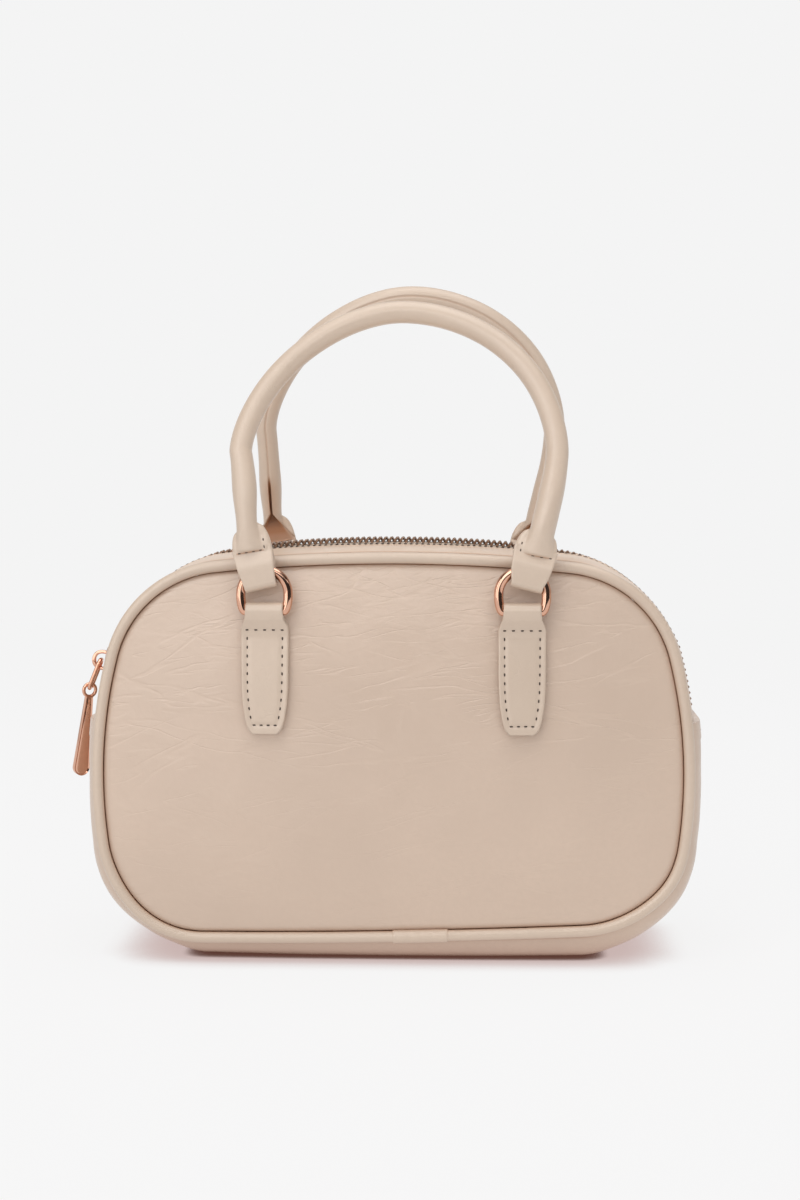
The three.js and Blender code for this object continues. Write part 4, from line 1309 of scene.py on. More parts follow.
def slider_mesh(name):
    """Zip slider: two plates on a core and a bridge for the link."""
    axes = slider_axes()
    plate_axes = axes @ Matrix(((0, 0, 1, 0), (1, 0, 0, 0), (0, 1, 0, 0), (0, 0, 0, 1)))
    plate = rounded_outline(SLIDER_WIDTH / 2, SLIDER_LENGTH / 2, SLIDER_CORNER)
    inside = SLIDER_INNER_TOP - SLIDER_PLATE
    core = rounded_outline(SLIDER_CORE / 2, SLIDER_CORE_LENGTH / 2, SLIDER_CORE_CORNER)
    bridge_axes = axes @ Matrix(((1, 0, 0, SLIDER_TOP), (0, 0, 1, 0), (0, 1, 0, 0), (0, 0, 0, 1)))
    arch = bridge_side(BRIDGE_HEIGHT, BRIDGE_LENGTH / 2)
    arch += bridge_side(BRIDGE_OPEN_HEIGHT, BRIDGE_OPEN_LENGTH / 2)[::-1]
    meshes = [
        prism(plate, SLIDER_TOP - SLIDER_PLATE, SLIDER_TOP, plate_axes),
        prism(plate, inside, SLIDER_INNER_TOP, plate_axes),
        prism(core, inside + SLIDER_CORE_SUNK, SLIDER_TOP - SLIDER_CORE_SUNK, plate_axes),
        prism(arch, -BRIDGE_WIDTH / 2, BRIDGE_WIDTH / 2, bridge_axes),
    ]
    return joined(name, meshes, SLIDER_BEVEL)


def hanging(tilt):
    """Direction that hangs down and swings out to the left by an angle."""
    return np.array([-math.sin(tilt), 0.0, -math.cos(tilt)])


def wire_mesh(name, path, radius, around, plane_normal):
    """Round wire along a closed path that lies in a plane."""
    path = np.asarray(path, float)
    tangent = unit(np.roll(path, -1, axis=0) - np.roll(path, 1, axis=0))
    normal = np.asarray(plane_normal, float)
    across = unit(np.cross(tangent, normal))
    turn = full_turn(around)
    sideways = across[:, None, :] * np.cos(turn)[None, :, None]
    rings = path[:, None, :] + radius * (sideways + normal[None, None, :] * np.sin(turn)[None, :, None])
    return lofted(name, rings, closed=True)


def link_mesh(name):
    """Oblong wire link that hangs from the bridge."""
    down = hanging(LINK_TILT)
    across = np.array([0.0, 1.0, 0.0])
    centre = np.array(PIVOT) + down * LINK_LENGTH / 2
    path = [
        centre + across * u + down * v
        for u, v in rounded_outline(LINK_HALF, LINK_LENGTH / 2, LINK_BEND, LINK_BEND_STEPS)
    ]
    return wire_mesh(name, path, LINK_WIRE, WIRE_AROUND, np.cross(down, across))


def drop_mesh(name):
    """Long tapering pull with a groove inside the rim of each face and an eye at its top."""
    foot = -DROP_LENGTH + DROP_HALF
    outline = [(DROP_NECK_HALF, -DROP_EYE), (-DROP_NECK_HALF, -DROP_EYE)]
    for turn in np.linspace(math.pi, 2 * math.pi, DROP_FOOT_STEPS):
        outline.append((DROP_HALF * math.cos(turn), foot + DROP_HALF * math.sin(turn)))
    plate = prism(outline, -DROP_THICK / 2, DROP_THICK / 2, Matrix.Identity(4))
    shape = bmesh.new()
    shape.from_mesh(plate)
    faces = [face for face in shape.faces if abs(face.normal.z) > 0.9]
    for width, push in ((DROP_RIM, -DROP_RECESS), (DROP_GROOVE, DROP_RECESS)):
        bmesh.ops.inset_region(shape, faces=faces, thickness=width, use_even_offset=True)
        for face in faces:
            step = face.normal * push
            for vert in face.verts:
                vert.co += step
    shape.to_mesh(plate)
    shape.free()
    circle = [(DROP_EYE * math.cos(t), DROP_EYE * math.sin(t), 0.0) for t in full_turn(DROP_EYE_STEPS)]
    eye = wire_mesh(name + "_eye", circle, DROP_EYE_WIRE, WIRE_AROUND, (0.0, 0.0, 1.0))
    eye.transform(Matrix.Scale(1.0 / MM, 4))
    mesh = joined(name, [plate, eye], DROP_BEVEL)
    up = Vector(-hanging(DROP_TILT))
    face = Matrix.Rotation(DROP_TWIST, 3, up) @ Vector((0.0, 1.0, 0.0))
    centre = np.array(PIVOT) + hanging(LINK_TILT) * LINK_LENGTH + hanging(DROP_TILT) * DROP_SLACK
    place = Matrix((up.cross(face), up, face)).transposed().to_4x4()
    place.translation = Vector(centre) * MM
    mesh.transform(place)
    return mesh


def ring_mesh(name, side, ring_x):
    """D-ring: a straight bar below, corners that draw in towards it and a round bow above."""
    inset = RING_HALF - RING_CORNER_WIDTH
    half = [(x, 0.0) for x in np.linspace(0.0, inset, RING_BAR_STEPS)]
    for turn in np.linspace(-math.pi / 2, 0.0, RING_CORNER_STEPS)[1:]:
        out = inset + RING_CORNER_WIDTH * math.cos(turn)
        half.append((out, RING_CORNER_HEIGHT * (1.0 + math.sin(turn))))
    for turn in np.linspace(0.0, math.pi / 2, RING_ARC_STEPS):
        half.append((RING_HALF * math.cos(turn), RING_ARC_CENTRE + RING_HALF * math.sin(turn)))
    path = half + [(-x, z) for x, z in half[-2:0:-1]]
    points = [(ring_x + x, side * RING_BAR_DEPTH, RING_BAR_Z + z) for x, z in path]
    return wire_mesh(name, points, RING_WIRE, RING_AROUND, (0.0, 1.0, 0.0))


def tab_width(z):
    """Width of a tab at a height."""
    heights, widths = np.array(TAB_WIDTHS).T
    drawn_in = smoothstep(z, TAB_SHOULDER_FROM, TAB_SHOULDER_TO)
    return mix(np.interp(z, heights, widths), TAB_FOLD_WIDTH, drawn_in)


def tab_fold_radius():
    """Radius of a tab's middle where it folds round the ring's bar."""
    return RING_WIRE + TAB_CLEAR + TAB_PLY / 2


def tab_depth(x, z, front):
    """Depth of the middle of a tab's back or front ply at a place of the panel."""
    behind = GAP + TAB_PLY / 2
    before = behind + TAB_PLY + TAB_BETWEEN
    follow = 1.0 - smoothstep(z, TAB_CONVERGE_Z, TAB_NECK_Z)
    face = mix(NECK_FACE, panel_face(x, z), follow)
    if not front:
        return face + behind
    lift = RING_BAR_DEPTH + tab_fold_radius() - NECK_FACE - before
    risen = smoothstep(z, TAB_CONVERGE_Z - TAB_LIFT_BELOW, TAB_NECK_Z + TAB_LIFT_ABOVE)
    return face + before + lift * risen


def tab_mesh(name, side, ring_x):
    """Strip folded round a ring's bar: up the panel, over the bar and down again in front."""
    heights = TAB_FOOT_Z + (TAB_NECK_Z - TAB_FOOT_Z) * np.linspace(0.0, 1.0, TAB_ROWS)
    half = TAB_PLY / 2
    rings = []

    def section(width, z):
        places, through = slab_section(np.linspace(-width / 2, width / 2, TAB_ACROSS), half)
        return ring_x + places, through, np.full(len(places), z)

    def flat_row(z, front):
        x, through, heights_here = section(float(tab_width(z)), z)
        depth = tab_depth(x, heights_here, front)
        if front:
            inset = np.abs(np.abs(x - ring_x) - (tab_width(z) / 2 - TAB_STITCH_INSET))
            sewn = smoothstep(z, TAB_STITCH_FOOT - 1.0, TAB_STITCH_FOOT) * (
                1.0 - smoothstep(z, TAB_STITCH_TOP, TAB_STITCH_TOP + 1.0))
            pull = bump_at(inset, 0.0, TAB_GROOVE_WIDTH) * sewn
            for row_z, reach in ((TAB_STITCH_TOP, TAB_GROOVE_TOP), (TAB_STITCH_FOOT, TAB_GROOVE_FOOT)):
                row = bump_at(z, row_z, TAB_GROOVE_WIDTH) * (np.abs(x - ring_x) < reach)
                pull = np.maximum(pull, row)
            depth = depth - TAB_GROOVE * pull * (through > 0.5)
        direction = through if front else -through
        return np.stack([x, side * (depth + half * direction), heights_here], axis=1)

    for z in heights:
        rings.append(flat_row(z, False))
    for turn in np.linspace(0.0, math.pi, TAB_FOLD_ROWS):
        x, through, _ = section(TAB_FOLD_WIDTH, 0.0)
        radius = tab_fold_radius() + half * through
        depth = RING_BAR_DEPTH - radius * math.cos(turn)
        rings.append(np.stack([x, side * depth, RING_BAR_Z + radius * math.sin(turn)], axis=1))
    for z in heights[::-1]:
        rings.append(flat_row(z, True))
    return lofted(name, rings)


def tab_stitches(side, ring_x):
    """Places and directions of the stitches round a tab's front: top row, two flanks and foot row."""

    def edge(z):
        return float(tab_width(z)) / 2 - TAB_STITCH_INSET

    rows = []
    for label, z, reach in (
        ("top", TAB_STITCH_TOP, edge(TAB_STITCH_TOP)), ("foot", TAB_STITCH_FOOT, TAB_STITCH_FOOT_REACH),
    ):
        rows += [(u, z, (1.0, 0.0, 0.0)) for u in np.linspace(-reach, reach, TAB_STITCHES[label])]
    heights = np.linspace(TAB_STITCH_TOP, TAB_STITCH_FLANK_FOOT, TAB_STITCHES["flank"] + 1)[1:]
    for sign in (-1.0, 1.0):
        for z in heights:
            slope = edge(z + 0.5) - edge(z - 0.5)
            rows.append((sign * edge(z), z, (sign * slope, 0.0, 1.0)))
    places = []
    for u, z, _ in rows:
        depth = float(tab_depth(ring_x + u, z, True)) + TAB_PLY / 2 - TAB_STITCH_SUNK
        places.append((ring_x + u, side * depth, z))
    outward = np.tile([0.0, side, 0.0], (len(places), 1))
    return places, [row[2] for row in rows], outward


def strip_stitches(side):
    """Places and directions of the stitches along a zip strip."""
    last = ZIP_END - STRIP_STITCH_FROM_END
    lengths = np.arange(-last, last, STRIP_STITCH_PITCH)
    seam = seam_at(lengths)
    tight = smoothstep(teeth_sink(seam.x), *STRIP_TIGHT_FROM_TO)
    lift = mix(STRIP_STITCH_LIFT, STRIP_STITCH_TIGHT, tight) + strip_surface(seam, side * STRIP_STITCH_Y)
    places = lifted(seam, side * STRIP_STITCH_Y, lift)
    return places, upright(seam.nz, -seam.nx), upright(seam.nx, seam.nz)


def hem_stitches(end):
    """Places and directions of the stitches across a hem of the gusset."""
    spacing = bpy.context.scene.handbag_sewing.stitch_pitch / MM
    length = ZIP_END + GAP + HEM_STITCH_FROM_END
    seam = seam_at(np.array([length if end > 0 else 2 * SEAM_HALF - length]))
    reach = float(edge_depth(seam)[0]) - HEM_STITCH_SHORT
    ys = np.arange(-reach, reach, spacing)
    columns = Seam(*(np.repeat(values, len(ys)) for values in seam))
    lift = gusset_offset(columns, ys) + hem_share(columns, ys) * HEM_PROUD - HEM_STITCH_SUNK
    along = np.tile([0.0, 1.0, 0.0], (len(ys), 1))
    return lifted(columns, ys, lift), along, upright(columns.nx, columns.nz)


def loop_axes(end):
    """Start, across and up of a handle's end, where its loop crosses the top of the ring."""
    tilt = math.radians(end.tilt)
    up = np.array([end.sign * math.sin(tilt), 0.0, math.cos(tilt)])
    across = np.array([up[2], 0.0, -up[0]])
    centre = np.array([end.ring_x + end.sign * end.slide, 0.0, RING_BAR_Z + RING_ARC_CENTRE])
    return centre + RING_HALF * up, across, up


def loop_mesh(name, side, end):
    """Flat leather loop round the top of a ring, its two plies meeting above it."""
    start, across, up = loop_axes(end)
    front = [(rise, out, share * 2 * end.flap) for rise, out, share in LOOP_ROWS]
    bottom = [
        (LOOP_FOLD - LOOP_FOLD_DROP * math.sin(turn), LOOP_SPREAD * math.cos(turn), LOOP_FOLD_WIDTH)
        for turn in np.linspace(0.0, math.pi, LOOP_FOLD_STEPS)
    ]
    back = [(rise, -out, width) for rise, out, width in front[:0:-1]]
    path = catmull(front + bottom + back, LOOP_STEPS)
    run = unit(np.gradient(path[:, :2], axis=0))
    half = LOOP_PLY / 2
    rings = []
    for (rise, out, width), (run_up, run_out) in zip(path, run):
        places, through = slab_section(np.linspace(-width / 2, width / 2, LOOP_ACROSS), half)
        points = start + across * places[:, None] + up * (rise + half * through * run_out)[:, None]
        points[:, 1] = side * (RING_BAR_DEPTH + out - half * through * run_up)
        rings.append(points)
    return lofted(name, rings)


def handle_half(handle, end):
    """Rows of x, z and climb of half of a handle's centre line, from one end up to the middle."""
    start, across, up = loop_axes(end)
    base = start + end.roll_up * up + end.sign * end.shift * across
    spring = HANDLE_SPRING_Z + handle.rise
    top = HANDLE_TOP_Z + handle.rise
    inset = HANDLE_HALF - abs(base[0])
    power = math.tan(HANDLE_LEG_TILT) * (spring - base[2]) / inset
    share = np.linspace(0.0, 1.0, HANDLE_LEG_STATIONS) ** HANDLE_LEG_SPACING
    turn = np.linspace(0.0, math.pi / 2, HANDLE_ARCH_STATIONS)[1:-1]
    leg_x = HANDLE_HALF - inset * (1.0 - share) ** power
    leg_z = mix(base[2], spring, share)
    x = np.concatenate([leg_x, HANDLE_HALF * np.cos(turn) ** end.slack])
    z = np.concatenate([leg_z, spring + (top - spring) * np.sin(turn) ** end.slack])
    x = end.sign * x + handle.sway * smoothstep(z, base[2], spring)
    return np.stack([x, z, z - base[2]], axis=1)


def handle_line(handle):
    """Centre line of a handle from left to right, with the climb of each station above its end."""
    left, right = (handle_half(handle, end) for end in ENDS)
    top = HANDLE_TOP_Z + handle.rise
    middle = [(handle.sway, top, top - left[0, 1])]
    rows = np.vstack([left, middle, right[::-1]])
    spring = HANDLE_SPRING_Z + handle.rise
    arch = smoothstep(rows[1:-1, 1:2], spring, spring + ARCH_SMOOTH_ABOVE)
    for _ in range(ARCH_SMOOTHING):
        rows[1:-1] += 0.25 * arch * (rows[:-2] + rows[2:] - 2.0 * rows[1:-1])
    x, z, climb = rows.T
    slope = math.tan(math.radians(handle.lean))
    onset = HANDLE_LEAN_ONSET
    lean = np.where(climb < onset, slope * climb**2 / (2 * onset), slope * (climb - onset / 2))
    return np.stack([x, handle.side * (RING_BAR_DEPTH - lean), z], axis=1), climb


def end_of(station, stations):
    """The end of a handle that a station of its line belongs to."""
    return ENDS[0] if station < stations / 2 else ENDS[1]


def handle_frames(line):
    """Outer and through directions of a handle's sections."""
    tangent = unit(np.gradient(line, axis=0))
    outer = unit(np.cross(tangent, np.array([0.0, 1.0, 0.0])))
    return outer, np.cross(outer, tangent)


def handle_section(climb, turn, end, inner_sign):
    """Places round a handle's section: a roll raised on a flat flap, slit open on its inner side."""
    swell = 1.0 + CORE_END_SWELL * bump_at(climb, CORE_END_CLIMB, SWELL_RUN)
    radius = HANDLE_RADIUS * (swell + end.neck * bump_at(climb, NECK_CLIMB, SWELL_RUN))
    ending = 1.0 - smoothstep(climb, 0.0, CORE_RUN)
    corner = CORE_CORNER - math.sqrt(max(0.0, CORE_CORNER**2 - max(0.0, CORE_CORNER - climb) ** 2))
    core_half = mix(radius, end.core, ending) - corner
    core_thick = mix(radius, CORE_THICK, ending) * float(smoothstep(climb, *CORE_FOOT_FROM_TO)) ** 0.5
    halves = []
    for run, flap in ((FLAP_OUTER_RUN, end.flap - end.shift), (end.flap_run, end.flap + end.shift)):
        spread = math.sqrt(max(0.0, 1.0 - (climb / run) ** 2))
        halves.append(mix(radius, flap, spread))
    limit = np.where(np.cos(turn) > 0, *halves)
    across = limit * np.cos(turn)
    ply = mix(FLAP_PLY, FLAP_PLY_ABOVE, float(smoothstep(climb, *FLAP_PLY_FROM_TO)))
    core = core_thick * np.sqrt(np.clip(1.0 - (across / core_half) ** 2, 0.0, 1.0))
    flat = ply * np.clip(1.0 - (across / limit) ** FLAP_EDGE_POWER, 0.0, 1.0) ** 0.5
    thick = (core**CORE_BLEND_POWER + flat**CORE_BLEND_POWER) ** (1.0 / CORE_BLEND_POWER)
    # Painted shade across the raised end of the roll, on its outer face
    crease = FLAP_END_SHADE * float(bump_at(climb, FLAP_SHADE_CLIMB, FLAP_SHADE_WIDTH))
    crease = crease * (np.abs(across) < end.core)
    inner = np.sin(turn) * inner_sign > 0
    parted = 1.0 - float(smoothstep(climb, SLIT_CLIMB - SLIT_CLOSING, SLIT_CLIMB))
    opening = max(0.0, 1.0 - climb / SLIT_OPEN_CLIMB)
    slit = SLIT_HALF * (1.0 + SLIT_PARTED_WIDER * parted) + SLIT_OPEN_HALF * opening
    depth = mix(SLIT_SHALLOW, mix(SLIT_DEEP, core_thick, min(1.0, SLIT_DEEPENING * opening)), parted)
    inside = 1.0 - smoothstep(np.abs(across), SLIT_INNER * slit, SLIT_OUTER * slit + SLIT_EDGE)
    thick = np.where(inner, np.maximum(thick - depth * inside, np.minimum(thick, SLIT_LEAST)), thick)
    # Painted shade in the slit, deepest where it is parted, and beside it
    slit_shade = mix(SLIT_SHADES["shut"], SLIT_SHADES["parted"], parted)
    slit_shade = mix(slit_shade, SLIT_SHADES["open"], float(smoothstep(opening, *SLIT_OPEN_FROM_TO)))
    shade = np.maximum(slit_shade * inside, SLIT_SIDE_SHADE * parted * bump_at(across, 0.0, SLIT_SIDE_SHADE_WIDTH))
    return across, np.where(np.sin(turn) >= 0, thick, -thick), np.where(inner, shade, crease)


def handle_roll(name, handle):
    """Rolled leather handle over a cord core."""
    line, climb = handle_line(handle)
    outer, through = handle_frames(line)
    turn = full_turn(HANDLE_AROUND)
    rings = []
    shades = []
    for k, centre in enumerate(line):
        across, thick, dark = handle_section(climb[k], turn, end_of(k, len(line)), -handle.side)
        rings.append(centre + outer[k] * across[:, None] + through[k] * thick[:, None])
        shades.append(dark)
    rings = np.array(rings)
    middle = line[:, None, :]
    swell = 1.0 + HANDLE_WAVE * ripple(rings, "handle")
    rings = middle + (rings - middle) * swell[:, :, None]
    return lofted(name, rings, shade=shades)


def handle_stitches(handle):
    """Places and directions of the stitches round a handle's raised ends, on the flaps' outer face."""
    line, climb = handle_line(handle)
    outer, through = handle_frames(line)
    half_turn = np.linspace(0.0, math.pi, END_STITCH_STEPS)
    places = []
    along = []
    outward = []
    for first, step in ((0, 1), (len(line) - 1, -1)):
        end = end_of(first, len(line))
        reach = end.core - END_STITCH_INSET
        rows = [(u, END_STITCH_CLIMB, False) for u in np.linspace(-reach, reach, END_STITCH_COUNT)]
        rows += [(-end.core - SIDE_STITCH_OUT, up, True) for up in SIDE_STITCH_CLIMBS]
        for u, up, lengthwise in rows:
            k = first + step * int(np.argmin(np.abs(climb[::step][: len(line) // 2] - up)))
            across, thick, _ = handle_section(climb[k], half_turn, end, -1)
            level = float(np.interp(u, across[::-1], thick[::-1]))
            face = through[k] * handle.side
            places.append(line[k] + outer[k] * u + face * (level - HANDLE_STITCH_SUNK))
            along.append(line[k + step] - line[k] if lengthwise else outer[k])
            outward.append(face)
    return places, along, outward


def stitch_piece(name, rows, body):
    """One mesh of all the stitches that ride on a body."""
    settings = bpy.context.scene.handbag_sewing
    places, along, outward = (np.vstack(parts) for parts in zip(*rows))
    size = (settings.stitch_length, settings.thread_width, settings.thread_width * THREAD_FLATNESS)
    shape = stitch_shape(name + "_one")
    mesh = repeated(name, shape, places, along, outward, size, thread_material())
    return piece(mesh, thread_material(), body, sharp=80.0)


def colour_setting(name, description, default):
    """Colour that the sidebar shows."""
    return FloatVectorProperty(
        name=name, description=description, subtype="COLOR", size=3, min=0.0, max=1.0, default=default,
    )


def length_setting(name, description, default):
    """Length in metres that the sidebar shows."""
    return FloatProperty(
        name=name, description=description, subtype="DISTANCE", unit="LENGTH", default=default,
    )


def share_setting(name, description, default):
    """Share from 0 to 1 that the sidebar shows."""
    return FloatProperty(
        name=name, description=description, subtype="FACTOR", min=0.0, max=1.0, default=default,
    )


def power_setting(name, description, default):
    """Power of a light that the sidebar shows."""
    return FloatProperty(name=name, description=description, unit="POWER", default=default)


class HandbagLeather(bpy.types.PropertyGroup):
    """Leather of the bag."""

    colour: colour_setting("Leather colour", "Main colour of the leather", (0.62, 0.475, 0.374))
    # Painted shade: colours of the seams and crevices, and of the deepest slits
    painted_shade_colour: colour_setting("Painted seam shade", "Colour in the depth of the seams", (0.38, 0.165, 0.07))
    painted_deep_shade_colour: colour_setting("Painted deep shade", "Colour of the deepest slits", (0.06, 0.028, 0.014))
    roughness: share_setting("Roughness", "How matt the leather is", 0.35)
    fold_depth: length_setting("Fold depth", "Depth of the broad folds of the skin", 0.0009)
    crease_depth: length_setting("Crease depth", "Depth of the fine creases", 0.00013)
    crumple_depth: length_setting("Crumple depth", "Depth of the crumpled skin near the top", 0.0003)
    wrap_thickness: length_setting("Wrap thickness", "Extra thickness of the wrapped piping", 0.0005)


class HandbagMetal(bpy.types.PropertyGroup):
    """Metal of the rings, the slider and the zip."""

    rose_gold: colour_setting("Rose gold", "Colour of the rings, slider and pull", (0.75, 0.43, 0.305))
    bronze: colour_setting("Bronze", "Colour of the zip teeth", (0.36, 0.225, 0.155))


class HandbagSewing(bpy.types.PropertyGroup):
    """Stitches and zip."""

    stitch_pitch: length_setting("Stitch pitch", "Distance from one hem stitch to the next", 0.0037)
    stitch_length: length_setting("Stitch length", "Length of thread that shows", 0.0014)
    thread_width: length_setting("Thread width", "Width of the thread", 0.00065)
    thread_colour: colour_setting("Thread colour", "Colour of the thread", (0.06, 0.042, 0.033))
    tooth_pitch: length_setting("Tooth pitch", "Distance between two teeth of the same row", 0.0025)
    tape_colour: colour_setting("Tape colour", "Colour of the zip tape", (0.68, 0.56, 0.46))


class HandbagStage(bpy.types.PropertyGroup):
    """Floor, backdrop and light."""

    backdrop: share_setting("Backdrop", "Brightness of the backdrop", 0.905)
    key_power: power_setting("Key light", "Power of the large light at the upper left", 5.6)
    top_power: power_setting("Top light", "Power of the large light overhead", 6.5)


WHITE = (1.0, 1.0, 1.0, 1.0)
BLACK = (0.0, 0.0, 0.0, 1.0)
FLOOR_GLOW = 0.925
FLOOR_COLOUR = (0.085, 0.083, 0.084, 1.0)
FLOOR_RADIUS = 12.0

# Distances from the middle between which the floor goes over into the backdrop
FLOOR_NEAR = 0.5
FLOOR_FAR = 1.8

# Shadows under the bag: reach, colour, and the openness at which each is deepest and gone
FLOOR_SHADOWS = [
    (0.022, (0.66, 0.52, 0.5, 1.0), 0.2, 0.9), (0.0045, (0.12, 0.05, 0.035, 1.0), 0.2, 0.65),
]

# Brightness of the surroundings above the horizon, and the heights between which it comes down to that
WORLD_MIDDLE = 0.45
WORLD_HORIZON = (0.3, 0.55)

# Changes overhead, in front, to the left and to the right: axis, where each starts and is full, change
WORLD_CHANGES = [
    ("Z", 0.7, 0.95, 0.8), ("Y", -0.2, -0.8, 0.26), ("X", -0.35, -0.8, -0.31), ("X", 0.35, 0.8, -0.42),
]

# Cards that the metal and the gloss of the leather reflect: level, width, height and place
CARDS = [
    ("dark_card", 0.04, 2.2, 0.9, (0.68, -0.88, 0.2)),
    ("strip_card", 2.0, 0.7, 0.9, (-0.68, -1.35, 0.2)),
    ("bright_card", 3.0, 2.0, 0.35, (-0.2, -1.45, 0.85)),
    ("left_card", 2.5, 0.45, 1.6, (-1.45, -0.75, 0.3)),
    ("right_card", 2.0, 0.35, 1.6, (1.5, -0.8, 0.3)),
]
CARD_TARGET = (0.0, 0.0, 0.15)

# Lights: size, place and target
KEY_LIGHT = (1.1, (-0.7, -1.0, 1.35), (0.0, 0.0, 0.12))
TOP_LIGHT = (1.4, (0.2, -0.2, 1.6), (0.0, 0.0, 0.1))

# Camera: focal length and sensor in millimetres, place in metres, tilt down and turn in degrees
CAMERA_LENS = 60.39
CAMERA_SENSOR = 36.0
CAMERA_PLACE = (0.04068, -0.89508, 0.2176)
CAMERA_TILT = 4.12
CAMERA_TURN = 2.5
CAMERA_FAR = 60.0


def stage_material(backdrop):
    """Pale floor that mostly shines by itself, so that only the shadow at the contact is deep."""
    material, tree, surface = emission_material("pale_floor")
    length = {0: object_place(tree)}
    distance = add_node(tree, "ShaderNodeVectorMath", length, operation="LENGTH").outputs["Value"]
    tint = WHITE
    for reach, dark, deepest, open_level in FLOOR_SHADOWS:
        contact = add_node(tree, "ShaderNodeAmbientOcclusion", {"Distance": reach}, samples=8)
        lit = remap(tree, contact.outputs["AO"], deepest, open_level)
        tint = blend_colours(tree, lit, dark, tint)
    strength = remap(tree, distance, FLOOR_NEAR, FLOOR_FAR, backdrop * FLOOR_GLOW, backdrop)
    glow = add_node(tree, "ShaderNodeEmission", {"Color": tint, "Strength": strength})
    far = remap(tree, distance, FLOOR_NEAR, FLOOR_FAR)
    colour = blend_colours(tree, far, FLOOR_COLOUR, BLACK)
    matt = add_node(tree, "ShaderNodeBsdfDiffuse", {"Color": colour})
    both = add_node(tree, "ShaderNodeAddShader", {0: glow.outputs[0], 1: matt.outputs[0]})
    tree.links.new(both.outputs[0], surface)
    return material


def studio_world(backdrop):
    """Plain pale surroundings, darker above the horizon and at the sides, brighter in front and above."""
    world = bpy.data.worlds.new("studio")
    bpy.context.scene.world = world
    world.use_nodes = True
    tree = world.node_tree
    place = add_node(tree, "ShaderNodeTexCoord").outputs["Generated"]
    direction = add_node(tree, "ShaderNodeSeparateXYZ", {0: place}).outputs
    level = remap(tree, direction["Z"], *WORLD_HORIZON, backdrop, WORLD_MIDDLE)
    for axis, low, high, change in WORLD_CHANGES:
        level = math_node(tree, "ADD", level, remap(tree, direction[axis], low, high, 0.0, change))
    background = tree.nodes["Background"]
    tree.links.new(level, background.inputs["Strength"])
    background.inputs["Color"].default_value = WHITE


def aimed(location, target):
    """Turn of a light or a card at one place that faces another."""
    return (Vector(target) - Vector(location)).to_track_quat("-Z", "Y")


def reflected_flag(name, level, width, height, location, target):
    """Flat card that shows only in glossy reflections, as dark or as bright as its level."""
    material, tree, surface = emission_material(name)
    glow = add_node(tree, "ShaderNodeEmission", {"Color": WHITE, "Strength": level})
    tree.links.new(glow.outputs[0], surface)
    aim = aimed(location, target)
    corners = [
        aim @ Vector((u * width / 2, v * height / 2, 0.0)) + Vector(location)
        for u, v in ((-1, -1), (1, -1), (1, 1), (-1, 1))
    ]
    mesh = bpy.data.meshes.new(name)
    mesh.from_pydata(corners, [], [(0, 1, 2, 3)])
    mesh.materials.append(material)
    card = add_object(name, mesh)
    for ray in ("camera", "diffuse", "transmission", "volume_scatter", "shadow"):
        setattr(card, "visible_" + ray, False)


def area_light(name, power, size, location, target):
    """Large soft light aimed at a point."""
    data = bpy.data.lights.new(name, "AREA")
    data.shape = "DISK"
    data.size = size
    data.energy = power
    light = add_object(name, data)
    light.location = location
    light.rotation_euler = aimed(location, target).to_euler()


class HANDBAG_OT_stage(bpy.types.Operator):
    """Make the floor, the light and the camera"""

    bl_idname = "handbag.stage"
    bl_label = "Stage"

    def execute(self, context):
        settings = context.scene.handbag_stage
        shape = bmesh.new()
        bmesh.ops.create_circle(shape, cap_ends=True, segments=96, radius=FLOOR_RADIUS)
        mesh = mesh_of(shape, "pale_floor")
        mesh.materials.append(stage_material(settings.backdrop))
        floor = add_object("pale_floor", mesh)
        studio_world(settings.backdrop)
        area_light("key_light", settings.key_power, *KEY_LIGHT)
        area_light("top_light", settings.top_power, *TOP_LIGHT)
        for card in CARDS:
            reflected_flag(*card, CARD_TARGET)
        context.scene.view_settings.view_transform = "Standard"
        data = bpy.data.cameras.new("camera")
        data.lens = CAMERA_LENS
        data.sensor_width = CAMERA_SENSOR
        data.clip_end = CAMERA_FAR
        camera = add_object("camera", data)
        camera.location = CAMERA_PLACE
        camera.rotation_euler = (math.radians(90.0 - CAMERA_TILT), 0.0, math.radians(CAMERA_TURN))
        context.scene.camera = camera
        return {"FINISHED"}


class HANDBAG_OT_panels(bpy.types.Operator):
    """Make the two domed leather panels"""

    bl_idname = "handbag.panels"
    bl_label = "Panels"

    def execute(self, context):
        for name, side in SIDES.items():
            mesh = panel_mesh(name + "_panel_leather", side)
            piece(mesh, leather_material("bag"), "bag", [name + "_panel"])
        return {"FINISHED"}


class HANDBAG_OT_piping(bpy.types.Operator):
    """Make the piping round both panels"""

    bl_idname = "handbag.piping"
    bl_label = "Piping"

    def execute(self, context):
        for name, side in SIDES.items():
            mesh = piping_mesh(name + "_piping_bead", side)
            piece(mesh, leather_material("strap"), "bag", [name + "_piping"])
        return {"FINISHED"}


class HANDBAG_OT_gusset(bpy.types.Operator):
    """Make the gusset round the sides and the bottom"""

    bl_idname = "handbag.gusset"
    bl_label = "Gusset"

    def execute(self, context):
        piece(gusset_mesh("gusset_leather"), leather_material("bag"), "bag", ["gusset"])
        return {"FINISHED"}


